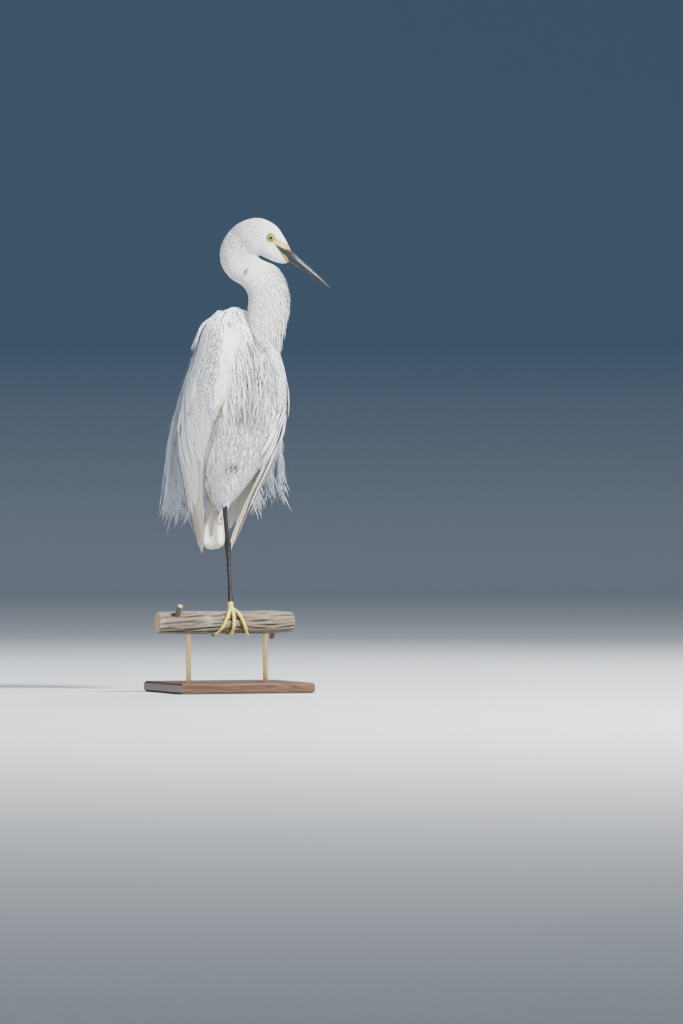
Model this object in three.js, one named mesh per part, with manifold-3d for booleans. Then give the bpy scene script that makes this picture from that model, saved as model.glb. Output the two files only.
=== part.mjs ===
// A life-size little egret that stands on one leg on a short length of branch, held by a plain display stand.
// Millimetres, +Z up. The origin is the centre of the stand's underside. The breast faces -Y, the bird's
// left side is +X, and the head is turned to its left. The other foot is tucked up against the belly.
import * as THREE from "three";
import { mergeVertices } from "three/addons/utils/BufferGeometryUtils.js";
import Module from "manifold-3d";

// Driving dimensions of the bird. Heights called h are above the sole of the standing foot.
const GAP = 0.3; // between touching pieces
const EYE_RADIUS = 6.2;
const TOE_RADIUS = 2.7;
const VANE_THICKNESS = 0.56;
const NECK_TURN = THREE.MathUtils.degToRad(20); // of the upright plane that the neck and the head lie in

// Driving dimensions of the stand and of the perch.
const BASE = { width: 210, depth: 180, height: 16, bevel: 3 };
const PERCH = { radius: 17, height: 105, from: -112, to: 100, sides: 16, rings: 10 };
const ROD = { radius: 4, places: [-64, 58], sides: 16 };
const SOLE = PERCH.height + PERCH.radius;

const wasm = await Module();
wasm.setup();
const egret = new THREE.Group();

const degrees = THREE.MathUtils.degToRad;
const point = (x, y, z) => new THREE.Vector3(x, y, z);

// A draw from 0 to 1 that is the same in every run.
let seed = 7;
function draw() {
  seed = (seed * 16807) % 2147483647;
  return seed / 2147483647;
}
const vary = (share) => 1 + share * (2 * draw() - 1);

// Values that run smoothly through the rows of a table, [station, value, value, ...] with rising stations.
function through(table) {
  const last = table.length - 1;
  const slope = (i, k) => {
    const a = table[Math.max(i - 1, 0)];
    const b = table[Math.min(i + 1, last)];
    return (b[k] - a[k]) / (b[0] - a[0]);
  };
  return (at) => {
    const x = Math.min(Math.max(at, table[0][0]), table[last][0]);
    const i = Math.min(Math.max(table.findIndex((row) => row[0] >= x), 1), last) - 1;
    const span = table[i + 1][0] - table[i][0];
    const t = (x - table[i][0]) / span;
    return table[i].slice(1).map((from, n) => {
      const k = n + 1;
      const to = table[i + 1][k];
      const ease = t * t * (3 - 2 * t);
      const leave = t * (1 - t) * (1 - t) * span * slope(i, k);
      const arrive = t * t * (1 - t) * span * slope(i + 1, k);
      return from + (to - from) * ease + leave - arrive;
    });
  };
}

// A closed solid of corners and faces, turned to face outwards.
function solid(corners, faces) {
  const shape = new THREE.BufferGeometry().setFromPoints(corners);
  shape.setIndex(faces.flat());
  return solidOf(shape);
}

function solidOf(geometry) {
  const bare = geometry.clone();
  bare.deleteAttribute("normal");
  bare.deleteAttribute("uv");
  const merged = mergeVertices(bare, 1e-4);
  const make = (triVerts) =>
    new wasm.Manifold(
      new wasm.Mesh({ numProp: 3, vertProperties: merged.attributes.position.array, triVerts }),
    );
  const triVerts = new Uint32Array(merged.index.array);
  const made = make(triVerts);
  return made.volume() > 0 ? made : make(triVerts.reverse());
}

// A closed solid through rings of corners, each end closed by a fan.
function loft(rings) {
  const n = rings[0].length;
  const corners = rings.flat();
  const faces = [];
  for (let i = 0; i + 1 < rings.length; i++) {
    for (let j = 0; j < n; j++) {
      const a = i * n + j;
      const b = i * n + ((j + 1) % n);
      faces.push([a, b, b + n], [a, b + n, a + n]);
    }
  }
  for (const [first, way] of [[0, 1], [(rings.length - 1) * n, -1]]) {
    const middle = corners.length;
    const ring = corners.slice(first, first + n);
    corners.push(ring.reduce((sum, p) => sum.add(p), point(0, 0, 0)).divideScalar(n));
    for (let j = 0; j < n; j++) {
      const edge = [first + ((j + 1) % n), first + j];
      faces.push(way > 0 ? [middle, ...edge] : [middle, ...edge.reverse()]);
    }
  }
  return solid(corners, faces);
}

// A closed plate between two grids of corners, split into triangles alike on both faces.
function plate(top, bottom) {
  const rows = top.length;
  const columns = top[0].length;
  const under = rows * columns;
  const at = (i, j) => i * columns + j;
  const faces = [];
  for (let i = 0; i + 1 < rows; i++) {
    for (let j = 0; j + 1 < columns; j++) {
      const [a, b, c, d] = [at(i, j), at(i, j + 1), at(i + 1, j + 1), at(i + 1, j)];
      faces.push([a, b, c], [a, c, d], [a + under, c + under, b + under], [a + under, d + under, c + under]);
    }
  }
  const rim = [];
  for (let j = 0; j + 1 < columns; j++) rim.push(at(0, j));
  for (let i = 0; i + 1 < rows; i++) rim.push(at(i, columns - 1));
  for (let j = columns - 1; j > 0; j--) rim.push(at(rows - 1, j));
  for (let i = rows - 1; i > 0; i--) rim.push(at(i, 0));
  rim.forEach((a, k) => {
    const b = rim[(k + 1) % rim.length];
    faces.push([a, a + under, b], [b, a + under, b + under]);
  });
  return solid([...top.flat(), ...bottom.flat()], faces);
}

const join = (pieces) => pieces.reduce((all, piece) => all.add(piece));
const largest = (made) =>
  made.decompose().reduce((best, piece) => (piece.volume() > best.volume() ? piece : best));

function addNode(name, made, material) {
  const mesh = largest(made).getMesh();
  const shape = new THREE.BufferGeometry();
  shape.setAttribute("position", new THREE.BufferAttribute(new Float32Array(mesh.vertProperties), 3));
  shape.setIndex(new THREE.BufferAttribute(new Uint32Array(mesh.triVerts), 1));
  shape.computeVertexNormals();
  const node = new THREE.Mesh(shape, material);
  node.name = name;
  egret.add(node);
}

const finish = (color, roughness, metalness = 0) =>
  new THREE.MeshStandardMaterial({ color, roughness, metalness });
const feathers = finish(0xf1f1ef, 0.75);
const flightFeathers = finish(0xebe6da, 0.7);
const horn = finish(0x1b1d22, 0.35);
const iris = finish(0xd8d27a, 0.15);
const legSkin = finish(0x16171b, 0.4);
const toeSkin = finish(0xa8a83a, 0.5);
const bark = finish(0x6e5a4b, 0.9);
const stained = finish(0x4a3326, 0.5);
const brass = finish(0xb08d4f, 0.3, 1);

// The trunk's level sections: h, middle, half width, depth to the front, depth to the back.
const trunkSection = through([
  [150, 40, 5, 4, 6],
  [162, 35, 18, 15, 18],
  [184, 27, 35, 30, 32],
  [212, 14, 52, 46, 42],
  [250, -2, 65, 58, 50],
  [290, -17, 70, 62, 54],
  [330, -30, 69, 61, 54],
  [370, -37, 61, 56, 51],
  [405, -37, 48, 44, 44],
  [432, -32, 35, 31, 33],
  [448, -28, 21, 18, 21],
  [455, -26, 9, 8, 10],
]);
// The folded wings' outer surface, in the same way.
const wingSection = through([
  [90, 60, 24, 8, 10],
  [121, 54, 35, 18, 20],
  [166, 40, 51, 34, 36],
  [200, 24, 63, 49, 46],
  [234, 8, 74, 59, 54],
  [271, -7, 80, 66, 60],
  [316, -25, 79, 67, 62],
  [350, -34, 74, 65, 61],
  [380, -38, 65, 59, 57],
  [410, -37, 54, 50, 49],
  [432, -32, 43, 38, 40],
  [450, -27, 28, 23, 27],
]);

// A point on such a surface: the angle runs from the front by the bird's left side to the back.
function onSurface(section, angle, h, out = 0) {
  const [middle, wide, front, back] = section(h);
  const deep = Math.cos(angle) > 0 ? front : back;
  return point((wide + out) * Math.sin(angle), middle - (deep + out) * Math.cos(angle), SOLE + h);
}

function trunk(out) {
  const rings = [];
  const from = 150;
  const to = 455;
  const count = 14;
  for (let i = 0; i <= count; i++) {
    const h = from + ((to - from) * (1 - Math.cos((Math.PI * i) / count))) / 2;
    rings.push(
      Array.from({ length: 20 }, (_, j) => {
        const p = onSurface(trunkSection, (2 * Math.PI * j) / 20, h, out);
        return i === 0 || i === count ? p.setZ(p.z + (i ? out : -out)) : p;
      }),
    );
  }
  return loft(rings);
}

// The plane of the neck: across to the bird's left, towards its front, and up.
function inNeckPlane(across, forward, h) {
  const c = Math.cos(NECK_TURN);
  const s = Math.sin(NECK_TURN);
  return point(across * c - forward * s, -across * s - forward * c, SOLE + h);
}

// The head's and the neck's two outlines in that plane, from the bill down to the breast, in pairs:
// [crown or nape across, h, chin or throat across, h, half thickness, how far forward].
const NECK = [
  [93, 541, 90, 521, 8, 30],
  [83, 559, 80, 519.5, 13, 30],
  [70, 577, 68, 522.5, 17.5, 30],
  [46, 588, 56, 528, 20.5, 30],
  [20, 583, 47.5, 532, 22, 30],
  [-2, 567, 45, 532, 23, 30],
  [-14, 543, 45.5, 530, 23.5, 30],
  [-13, 519, 50, 526.5, 24, 30],
  [0, 498, 60, 522, 24.5, 31],
  [18, 486, 71, 514, 25, 33],
  [27.5, 471, 80.5, 497.5, 25.5, 36],
  [27, 450, 87.5, 474, 26, 39],
  [22, 425, 87, 448, 28, 41],
  [11, 396, 79, 413, 32, 40],
  [2, 362, 66, 368, 31, 30],
];
const neckOutline = through(NECK.map((row, i) => [i, ...row]));

function neckRing(at, out, sides) {
  const [a, ha, b, hb, thick, forward] = neckOutline(at);
  const long = Math.hypot(a - b, ha - hb) / 2;
  const grow = (long + out) / long;
  return Array.from({ length: sides }, (_, j) => {
    const turn = (2 * Math.PI * j) / sides;
    const along = Math.cos(turn) * grow;
    return inNeckPlane(
      (a + b) / 2 + (along * (a - b)) / 2,
      forward + Math.sin(turn) * (thick + out),
      (ha + hb) / 2 + (along * (ha - hb)) / 2,
    );
  });
}
function neckLoft(from, to, steps, out = 0, sides = 24) {
  const at = (i) => from + ((to - from) * i) / steps;
  return loft(Array.from({ length: steps + 1 }, (_, i) => neckRing(at(i), out, sides)));
}

// A slab as thick as the gap, lying in the neck's ring at a station.
function slabAt(station, size) {
  const [a, ha, b, hb, , forward] = neckOutline(station);
  const slab = new THREE.BoxGeometry(size, 100, GAP);
  slab.applyMatrix4(
    new THREE.Matrix4()
      .makeTranslation(inNeckPlane((a + b) / 2, forward, (ha + hb) / 2))
      .multiply(new THREE.Matrix4().makeRotationZ(-NECK_TURN))
      .multiply(new THREE.Matrix4().makeRotationY(Math.atan2(ha - hb, b - a))),
  );
  return solidOf(slab);
}

// The bill, along its own axis from the gape: station, half width, height above the axis, depth below it.
const BILL = { gape: [71, 547], tip: [151.5, 483.5], forward: 30, length: 102.5 };
const billSection = through([
  [0, 13.5, 0.8, 0.8],
  [10, 12.2, 4.2, 4.4],
  [21, 9.4, 7.6, 7.8],
  [32, 7.4, 6.7, 6.2],
  [50, 6.0, 5.7, 5.1],
  [70, 4.7, 4.6, 4.0],
  [86, 3.1, 3.2, 2.7],
  [97, 1.4, 1.6, 1.3],
  [102.5, 0.4, 0.5, 0.4],
]);
function billPoint(along, side, up) {
  const [ga, gh] = BILL.gape;
  const [ta, th] = BILL.tip;
  const long = Math.hypot(ta - ga, th - gh);
  const [ca, ch] = [(ta - ga) / long, (th - gh) / long];
  return inNeckPlane(ga + ca * along - ch * up, BILL.forward + side, gh + ch * along + ca * up);
}
function billLoft(out) {
  const count = 12;
  return loft(
    Array.from({ length: count + 1 }, (_, i) => {
      const share = i / count;
      const at = BILL.length * share;
      const [wide, above, below] = billSection(at);
      return Array.from({ length: 16 }, (_, j) => {
        const turn = (2 * Math.PI * j) / 16;
        const high = Math.sin(turn) > 0 ? above + out : below + out;
        const end = i === 0 ? -out : 0;
        return billPoint(at + end, (wide + out) * Math.cos(turn), high * Math.sin(turn));
      });
    }),
  );
}
function billSlit() {
  const slit = new THREE.BoxGeometry(BILL.length + 40, 60, 0.4);
  const [ga, gh] = BILL.gape;
  const [ta, th] = BILL.tip;
  slit.applyMatrix4(
    new THREE.Matrix4()
      .makeTranslation(billPoint(BILL.length / 2, 0, 0))
      .multiply(new THREE.Matrix4().makeRotationZ(-NECK_TURN))
      .multiply(new THREE.Matrix4().makeRotationY(Math.atan2(gh - th, ta - ga))),
  );
  return solidOf(slit);
}

// The head, with the sockets and the lids of the two eyes.
const EYE = { across: 63.5, h: 557.5, out: 12.2 };
const eyeCentre = (side) => inNeckPlane(EYE.across, BILL.forward + side * EYE.out, EYE.h);
function ball(centre, radius, wide = 12, high = 8) {
  return solidOf(new THREE.SphereGeometry(radius, wide, high).translate(...centre.toArray()));
}
function lid(side) {
  const ring = new THREE.TorusGeometry(5.1, 1.0, 5, 12);
  ring.applyMatrix4(
    new THREE.Matrix4()
      .makeTranslation(inNeckPlane(EYE.across, BILL.forward + side * (EYE.out + 4.0), EYE.h))
      .multiply(new THREE.Matrix4().makeRotationZ(-NECK_TURN))
      .multiply(new THREE.Matrix4().makeRotationX(Math.PI / 2 + side * degrees(8))),
  );
  return solidOf(ring);
}

function addHead() {
  let head = join([neckLoft(0, 5.5, 14, 0, 20), lid(1), lid(-1)]);
  head = head.subtract(slabAt(5.5, 72)).subtract(billLoft(GAP));
  for (const side of [1, -1]) head = head.subtract(ball(eyeCentre(side), EYE_RADIUS + GAP));
  addNode("head", head, feathers);
  addNode("eye_right", ball(eyeCentre(1), EYE_RADIUS), iris);
  addNode("eye_left", ball(eyeCentre(-1), EYE_RADIUS), iris);
  let halves = billLoft(0).subtract(billSlit());
  for (const side of [1, -1]) {
    const slot = new THREE.SphereGeometry(1, 8, 6).scale(4.2, 2.4, 0.8);
    slot.applyMatrix4(
      new THREE.Matrix4()
        .makeTranslation(billPoint(31, side * 6.6, 3.4))
        .multiply(new THREE.Matrix4().makeRotationZ(-NECK_TURN))
        .multiply(new THREE.Matrix4().makeRotationY(degrees(38))),
    );
    halves = halves.subtract(solidOf(slot));
  }
  const [one, two] = halves.decompose().sort((p, q) => q.volume() - p.volume());
  const top = (p) => p.boundingBox().max[2];
  addNode("bill_upper", top(one) > top(two) ? one : two, horn);
  addNode("bill_lower", top(one) > top(two) ? two : one, horn);
}

// A flat tapering piece along a path: stations of centre, way out, half width and half thickness.
function strip(stations, columns = [-1, 0, 1], camber = 1 / 170) {
  const top = [];
  const bottom = [];
  stations.forEach(({ centre, out, half, thin, roll = 0 }, i) => {
    const before = stations[Math.max(i - 1, 0)].centre;
    const after = stations[Math.min(i + 1, stations.length - 1)].centre;
    const along = after.clone().sub(before).normalize();
    const across = along.clone().cross(out).normalize();
    const normal = across.clone().cross(along).normalize();
    const flat = across.clone().applyAxisAngle(along, roll);
    const row = columns.map((c) =>
      centre.clone().addScaledVector(flat, c * half).addScaledVector(normal, -camber * (c * half) ** 2),
    );
    top.push(row.map((p) => p.clone().addScaledVector(normal, thin)));
    bottom.push(row.map((p) => p.clone().addScaledVector(normal, -thin)));
  });
  return plate(top, bottom);
}

// A feather that lies over a surface from a root to a tip, each an angle and an h. Its root is sunk in the
// wing's core and it stands off the surface by lift, and by rise more at its tip.
function vane(section, side, root, tip, width, lift, rise) {
  const stops = [0, 0.4, 0.82, 1];
  const outline = [0.6, 1, 0.86, 0.28];
  return strip(
    stops.map((s, i) => {
      const angle = degrees(root[0] + (tip[0] - root[0]) * s) * side;
      const h = root[1] + (tip[1] - root[1]) * s;
      const up = i === 0 ? Math.min(lift, 0) - ROOT_DEPTH : lift + rise * s * s;
      const centre = onSurface(section, angle, h, up);
      const out = onSurface(section, angle, h, up + 5).sub(centre).normalize();
      return { centre, out, half: (width / 2) * outline[i], thin: VANE_THICKNESS / 2, roll: SHINGLE * side };
    }),
  );
}

// The folded wing's tiers, from the flight feathers up. Each gives the root and the tip of its front
// feather and of its hind one, as an angle from the breast and an h.
const ROOT_DEPTH = 4.6;
const SHINGLE = 0.09; // lean of each vane over its neighbour
function tier(count, root, tip, width, lift, rise, step = 0.1) {
  return { count, root, tip, width, lift, rise, step };
}
const TIERS = [
  tier(5, [[46, 246], [84, 232]], [[58, 92], [104, 112]], 19, -6.5, 4, 0.9),
  tier(6, [[56, 268], [150, 262]], [[66, 164], [148, 124]], 30, 0, 1.6),
  tier(5, [[50, 320], [146, 318]], [[40, 230], [136, 214]], 35, 0.2, 2.6),
  tier(5, [[48, 364], [136, 360]], [[40, 292], [128, 278]], 31, 0.4, 2.8),
  tier(4, [[60, 404], [120, 404]], [[50, 342], [118, 334]], 30, 0.6, 3),
  tier(3, [[92, 430], [124, 432]], [[94, 376], [128, 346]], 23, 0.8, 3.4),
];
const wingEdges = through([
  [205, 58, 156],
  [260, 36, 162],
  [316, 31, 158],
  [360, 34, 148],
  [400, 40, 134],
  [438, 60, 130],
]);
function wing(side, clear) {
  const face = (section, out) =>
    Array.from({ length: 6 }, (_, i) => {
      const h = 205 + (233 * i) / 5;
      const [from, to] = wingEdges(h);
      return Array.from({ length: 6 }, (_, j) => {
        const angle = degrees(from + ((to - from) * j) / 5) * side;
        return onSurface(section, angle, h, out);
      });
    });
  const pieces = [plate(face(wingSection, -3), face(trunkSection, 0.8))];
  for (const { count, root, tip, width, lift, step, rise } of TIERS) {
    for (let i = 0; i < count; i++) {
      const s = i / (count - 1);
      const at = ([front, hind], k) => front[k] + (hind[k] - front[k]) * s;
      const end = [at(tip, 0), at(tip, 1) + 7 * draw()];
      const wide = width * vary(0.05);
      pieces.push(vane(wingSection, side, [at(root, 0), at(root, 1)], end, wide, lift + step * i, rise));
    }
  }
  return clear.reduce((made, other) => made.subtract(other), join(pieces));
}

// The tail: rectrices side by side, fanned a little.
function tail(clear) {
  const pieces = [];
  for (let i = 0; i < 6; i++) {
    const s = i / 2.5 - 1;
    const start = point(5 * s - 1, 38 - 2 * Math.abs(s), SOLE + 196);
    const end = point(9 * s - 4.5, 55 + 1.1 * i, SOLE + 92 + 3 * Math.abs(s));
    const stops = [0, 0.3, 0.6, 0.9, 1];
    pieces.push(
      strip(
        stops.map((t, k) => ({
          centre: start.clone().lerp(end, t),
          out: point(0, 1, 0.2).normalize(),
          half: 6.4 * [0.6, 0.9, 1, 0.95, 0.5][k],
          thin: VANE_THICKNESS / 2,
          roll: 0.14,
        })),
      ),
    );
  }
  const root = new THREE.SphereGeometry(1, 14, 10).scale(11, 8, 24).translate(0, 42, SOLE + 176);
  return clear.reduce((made, other) => made.subtract(other), join([solidOf(root), ...pieces]));
}

// Long loose plumes that spring from the mantle and hang over the back and the folded wings. Where a plume
// ends, from the bird's left to its right: [share of the spread, h, how far it stands off].
const PLUME_COUNT = 14;
const plumeEnd = through([
  [-1, 176, 58],
  [-0.8, 118, 40],
  [-0.4, 128, 22],
  [0.2, 120, 20],
  [0.7, 124, 34],
  [0.85, 136, 42],
  [1, 190, 24],
]);
function backPlumes(extra) {
  seed = 11;
  return Array.from({ length: PLUME_COUNT }, (_, i) => {
    const s = (2 * i) / (PLUME_COUNT - 1) - 1;
    const [low, flare] = plumeEnd(s);
    const end = [180 + 74 * s + 6 * draw(), low + (i % 2) * 34 * draw(), flare * vary(0.15)];
    const high = 438 - 14 * Math.abs(s);
    const wide = 4.6 * vary(0.15);
    return strip(
      [0, 0.14, 0.45, 0.78, 1].map((t, k) => {
        const angle = degrees(180 + 26 * s + (end[0] - 180 - 26 * s) * Math.sqrt(t));
        const h = high + (end[1] - high) * t;
        const lift = k ? 7.5 + end[2] * t * t * t : -9;
        const centre = onSurface(wingSection, angle, h, lift);
        const out = onSurface(wingSection, angle, h, lift + 5).sub(centre).normalize();
        const half = wide * [0.9, 1, 0.9, 0.55, 0.12][k] + extra;
        const thin = [1.4, 1.1, 0.8, 0.5, 0.3][k] + extra;
        return { centre, out, half, thin, roll: 0.12 };
      }),
    );
  });
}

// Pointed plumes that hang from the foot of the neck over the breast.
function breastPlumes(extra) {
  seed = 29;
  const pieces = [];
  const count = 11;
  for (let i = 0; i < count; i++) {
    const s = (2 * i) / (count - 1) - 1;
    const high = 384 - 8 * Math.abs(s);
    const low = 300 + 12 * draw() + 12 * s * s;
    const stops = [0, 0.3, 0.72, 1];
    pieces.push(
      strip(
        stops.map((t, k) => {
          const angle = degrees(5 + 24 * s * (1 - 0.25 * t) - 3 * t);
          const h = high + (low - high) * t;
          const lift = k ? 3.2 + (i % 2) * 1.2 + 2 * t : -2;
          const centre = onSurface(trunkSection, angle, h, lift);
          const out = onSurface(trunkSection, angle, h, lift + 5).sub(centre).normalize();
          const half = [5, 5.6, 3.6, 0.7][k] + extra;
          return { centre, out, half, thin: [1.2, 0.9, 0.6, 0.35][k] + extra };
        }),
      ),
    );
  }
  return pieces;
}

// A round limb through [x, y, h, radius] stations.
function limb(stations, sides = 10, out = 0, pace = 2) {
  const path = new THREE.CatmullRomCurve3(stations.map(([x, y, h]) => point(x, y, SOLE + h)));
  const steps = (stations.length - 1) * pace;
  const size = through(stations.map((row, i) => [i, row[3]]));
  const frames = path.computeFrenetFrames(steps, false);
  const rings = [];
  for (let i = 0; i <= steps; i++) {
    const u = i / steps;
    const centre = path.getPoint(u);
    const radius = size(u * (stations.length - 1))[0] + out;
    const tangent = path.getTangent(u);
    const across = frames.normals[0].clone().projectOnPlane(tangent).normalize();
    const other = tangent.clone().cross(across);
    rings.push(
      Array.from({ length: sides }, (_, j) => {
        const turn = (2 * Math.PI * j) / sides;
        return centre
          .clone()
          .addScaledVector(across, radius * Math.cos(turn))
          .addScaledVector(other, radius * Math.sin(turn));
      }),
    );
  }
  return loft(rings);
}

// The standing leg: feathered thigh, bare shank, ankle and tarsus, and the foot's ball.
const THIGH = [
  [-9, 6, 236, 30],
  [-7, 2, 205, 25],
  [-5, 4, 178, 15],
  [-4, 8, 158, 6.2],
];
const SHANK = [
  [-4.5, 6, 170, 3.9],
  [-4, 8.5, 156, 3.7],
  [0, 13, 124, 3.3],
  [3.5, 16, 104, 3.7],
  [4, 16.5, 98, 4.9],
];
const TARSUS = [
  [4, 16.5, 98, 5],
  [4, 15.5, 92, 4.2],
  [3.5, 10, 62, 3],
  [3, 4, 28, 3.1],
  [2.7, 1.6, 13.5, 3.9],
];
const ankle = point(4, 16.5, SOLE + 98);

// Toes that close round the perch: the angle is round the perch, from its top towards the front.
const TOES = [
  { spread: -30, reach: 158, claw: 22 },
  { spread: -3, reach: 196, claw: 24 },
  { spread: 26, reach: 168, claw: 22 },
  { spread: 6, reach: -98, claw: -26 },
];
function toeStations(spread, from, to, count, radius) {
  return Array.from({ length: count }, (_, i) => {
    const t = i / (count - 1);
    const angle = degrees(from + (to - from) * t);
    const r = PERCH.radius + GAP + 0.1 + radius(t);
    const x = 2.6 + (spread * Math.abs(angle)) / 3;
    return [x, -r * Math.sin(angle), r * Math.cos(angle) - PERCH.radius, radius(t)];
  });
}
function addFoot() {
  const pieces = [limb([[2.6, 1.5, 13, 4], [2.6, 0.5, 8, 4.6], [2.6, 0, 4, 4.2]], 12)];
  for (const { spread, reach, claw } of TOES) {
    const knuckle = (t) => TOE_RADIUS * (1.12 - 0.34 * t + 0.08 * Math.cos(t * 5 * Math.PI));
    pieces.push(limb(toeStations(spread, 0, reach, 8, knuckle), 6, 0, 1));
    pieces.push(limb(clawStations(spread, reach, claw), 5));
  }
  return join(pieces);
}
function clawStations(spread, reach, claw) {
  const [x, y, h] = toeStations(spread, 0, reach, 6, () => TOE_RADIUS * 0.7).at(-1);
  const tip = toeStations(spread, 0, reach + claw, 6, () => 0.35).at(-1);
  const middle = [(x + tip[0]) / 2, (y + tip[1]) * 0.53, (h + tip[2]) / 2 + 0.6, 1.1];
  return [[x, y, h, 1.7], middle, [tip[0], tip[1], tip[2], 0.35]];
}

// The other foot, drawn up into the belly feathers so that only its curled toes show.
const TUCKED_TARSUS = [[14, 2, 194, 3.2], [4, -16, 207, 3.2], [-3, -29, 214, 3.4]];
const TUCKED_TOES = [
  [[-3, -28, 213, 3.2], [-10, -33, 217, 2.5], [-15, -33.5, 213, 2.1], [-16, -30, 207, 1.2]],
  [[-3, -28, 214, 3.2], [-5, -36, 219, 2.5], [-8, -38.5, 213, 2.1], [-9, -34, 206, 1.2]],
  [[-3, -28, 213, 3.2], [1, -35, 218, 2.5], [0, -38, 212, 2.1], [-1, -33, 205, 1.2]],
];
function tucked(out) {
  return join([TUCKED_TARSUS, ...TUCKED_TOES].map((stations) => limb(stations, 6, out)));
}

// A branch with two cut side twigs, and the stand under it.
const perchPath = [
  [PERCH.from, 2.5, 0.96],
  [-60, 0.6, 1.04],
  [-20, 0, 1],
  [25, 0, 1],
  [65, 1.2, 1.03],
  [PERCH.to, 4, 0.9],
];
const perchLine = through(perchPath);
function perch(out) {
  const rings = [];
  for (let i = 0; i <= PERCH.rings; i++) {
    const x = PERCH.from - out + ((PERCH.to - PERCH.from + 2 * out) * i) / PERCH.rings;
    const [sway, swell] = perchLine(x);
    rings.push(
      Array.from({ length: PERCH.sides }, (_, j) => {
        const turn = (2 * Math.PI * j) / PERCH.sides;
        const r = PERCH.radius * swell + out;
        return point(x, sway - r * Math.sin(turn), PERCH.height + r * Math.cos(turn));
      }),
    );
  }
  return loft(rings);
}
function twig(x, lean, length, radius) {
  const shape = new THREE.CylinderGeometry(radius * 0.8, radius * 1.25, length + PERCH.radius, 12);
  shape.translate(0, (length + PERCH.radius) / 2, 0);
  shape.rotateX(Math.PI / 2 + lean);
  return solidOf(shape.translate(x, 0, PERCH.height));
}

function addStand() {
  const edge = BASE.bevel;
  const plan = new THREE.Shape();
  const w = BASE.width / 2 - edge;
  const d = BASE.depth / 2 - edge;
  plan.moveTo(-w, -d).lineTo(w, -d).lineTo(w, d).lineTo(-w, d).closePath();
  const board = new THREE.ExtrudeGeometry(plan, {
    depth: BASE.height - 2 * edge,
    bevelThickness: edge,
    bevelSize: edge,
    bevelSegments: 1,
  });
  addNode("stand_base", solidOf(board.translate(0, 0, edge)), stained);
  const clear = perch(GAP);
  ROD.places.forEach((x, i) => {
    const long = PERCH.height - BASE.height - GAP;
    const rod = new THREE.CylinderGeometry(ROD.radius, ROD.radius, long, ROD.sides);
    rod.rotateX(Math.PI / 2).translate(x, 0.5, BASE.height + GAP + long / 2);
    addNode(`stand_rod_${i + 1}`, solidOf(rod).subtract(clear), brass);
  });
  const branch = join([perch(0), twig(-84, 0.7, 16, 5), twig(74, -2.5, 13, 4.5)]);
  addNode("perch", branch, bark);
}

function addBody() {
  const clearTrunk = trunk(GAP);
  addNode("torso", join([trunk(0), ...breastPlumes(0), ...backPlumes(0)]).subtract(tucked(GAP)), feathers);

  const neck = neckLoft(5.5, 14, 18, 0, 18).subtract(slabAt(5.5, 72));
  const cut = slabAt(10.6, 400);
  const top = (piece) => piece.boundingBox().max[2];
  const parts = neck.subtract(cut).decompose().sort((p, q) => top(q) - top(p));
  addNode("neck_upper", parts[0], feathers);
  addNode("neck_lower", parts[1].subtract(clearTrunk).subtract(join(breastPlumes(GAP))), feathers);

  const clearNeck = neckLoft(9, 14, 12, GAP, 18);
  const clear = [clearTrunk, clearNeck, join(backPlumes(GAP))];
  addNode("wing_left", wing(1, clear), flightFeathers);
  addNode("wing_right", wing(-1, clear), flightFeathers);
  addNode("tail", tail([clearTrunk]), flightFeathers);

  const clearShank = limb(SHANK, 12, GAP);
  const thigh = limb(THIGH, 16).subtract(clearTrunk).subtract(clearShank).subtract(tucked(GAP));
  addNode("thigh_right", thigh, feathers);
  addNode("shank_right", limb(SHANK).subtract(clearTrunk).subtract(ball(ankle, 5.3 + GAP)), legSkin);
  addNode("tarsus_right", join([ball(ankle, 5.3), limb(TARSUS)]), legSkin);
  addNode("foot_right", addFoot().subtract(perch(GAP)), toeSkin);
  addNode("foot_left", tucked(0), legSkin);
}

addStand();
addHead();
addBody();

export default egret;
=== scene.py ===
# %% [markdown]
# # A little egret on a cut branch
# This lesson dresses a life-size model of a little egret. The solids of the frame give the true sizes and
# places. Each step below adds one thing that is seen on the real bird: the skin, the coat of feathers, the
# folded wings, the loose plumes, the bill, the eyes, the legs, and then the branch and the stand.
#
# The frame is loaded first, and its box is kept, to be printed at the end beside the box of the dressed
# bird.

import math

import bpy
import numpy as np
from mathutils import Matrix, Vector


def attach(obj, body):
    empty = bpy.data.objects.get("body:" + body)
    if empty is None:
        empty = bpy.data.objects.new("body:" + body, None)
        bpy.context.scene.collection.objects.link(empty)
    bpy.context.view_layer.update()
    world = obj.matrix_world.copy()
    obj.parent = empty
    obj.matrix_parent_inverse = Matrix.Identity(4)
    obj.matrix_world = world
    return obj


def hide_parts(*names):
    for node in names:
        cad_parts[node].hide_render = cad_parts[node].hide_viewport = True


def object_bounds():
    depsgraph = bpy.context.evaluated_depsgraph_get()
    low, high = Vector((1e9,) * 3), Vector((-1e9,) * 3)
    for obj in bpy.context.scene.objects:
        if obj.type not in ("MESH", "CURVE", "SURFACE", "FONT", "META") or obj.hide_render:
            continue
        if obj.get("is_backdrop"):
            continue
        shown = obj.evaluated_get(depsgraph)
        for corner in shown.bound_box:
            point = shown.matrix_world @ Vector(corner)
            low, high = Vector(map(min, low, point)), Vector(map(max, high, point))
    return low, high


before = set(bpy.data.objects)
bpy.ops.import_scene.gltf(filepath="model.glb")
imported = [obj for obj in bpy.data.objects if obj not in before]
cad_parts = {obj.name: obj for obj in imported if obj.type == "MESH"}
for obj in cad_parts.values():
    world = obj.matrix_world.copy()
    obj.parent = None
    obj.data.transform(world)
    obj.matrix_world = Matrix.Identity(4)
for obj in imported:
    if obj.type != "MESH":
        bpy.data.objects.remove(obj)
cad_box = [list(corner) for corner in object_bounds()]
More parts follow.
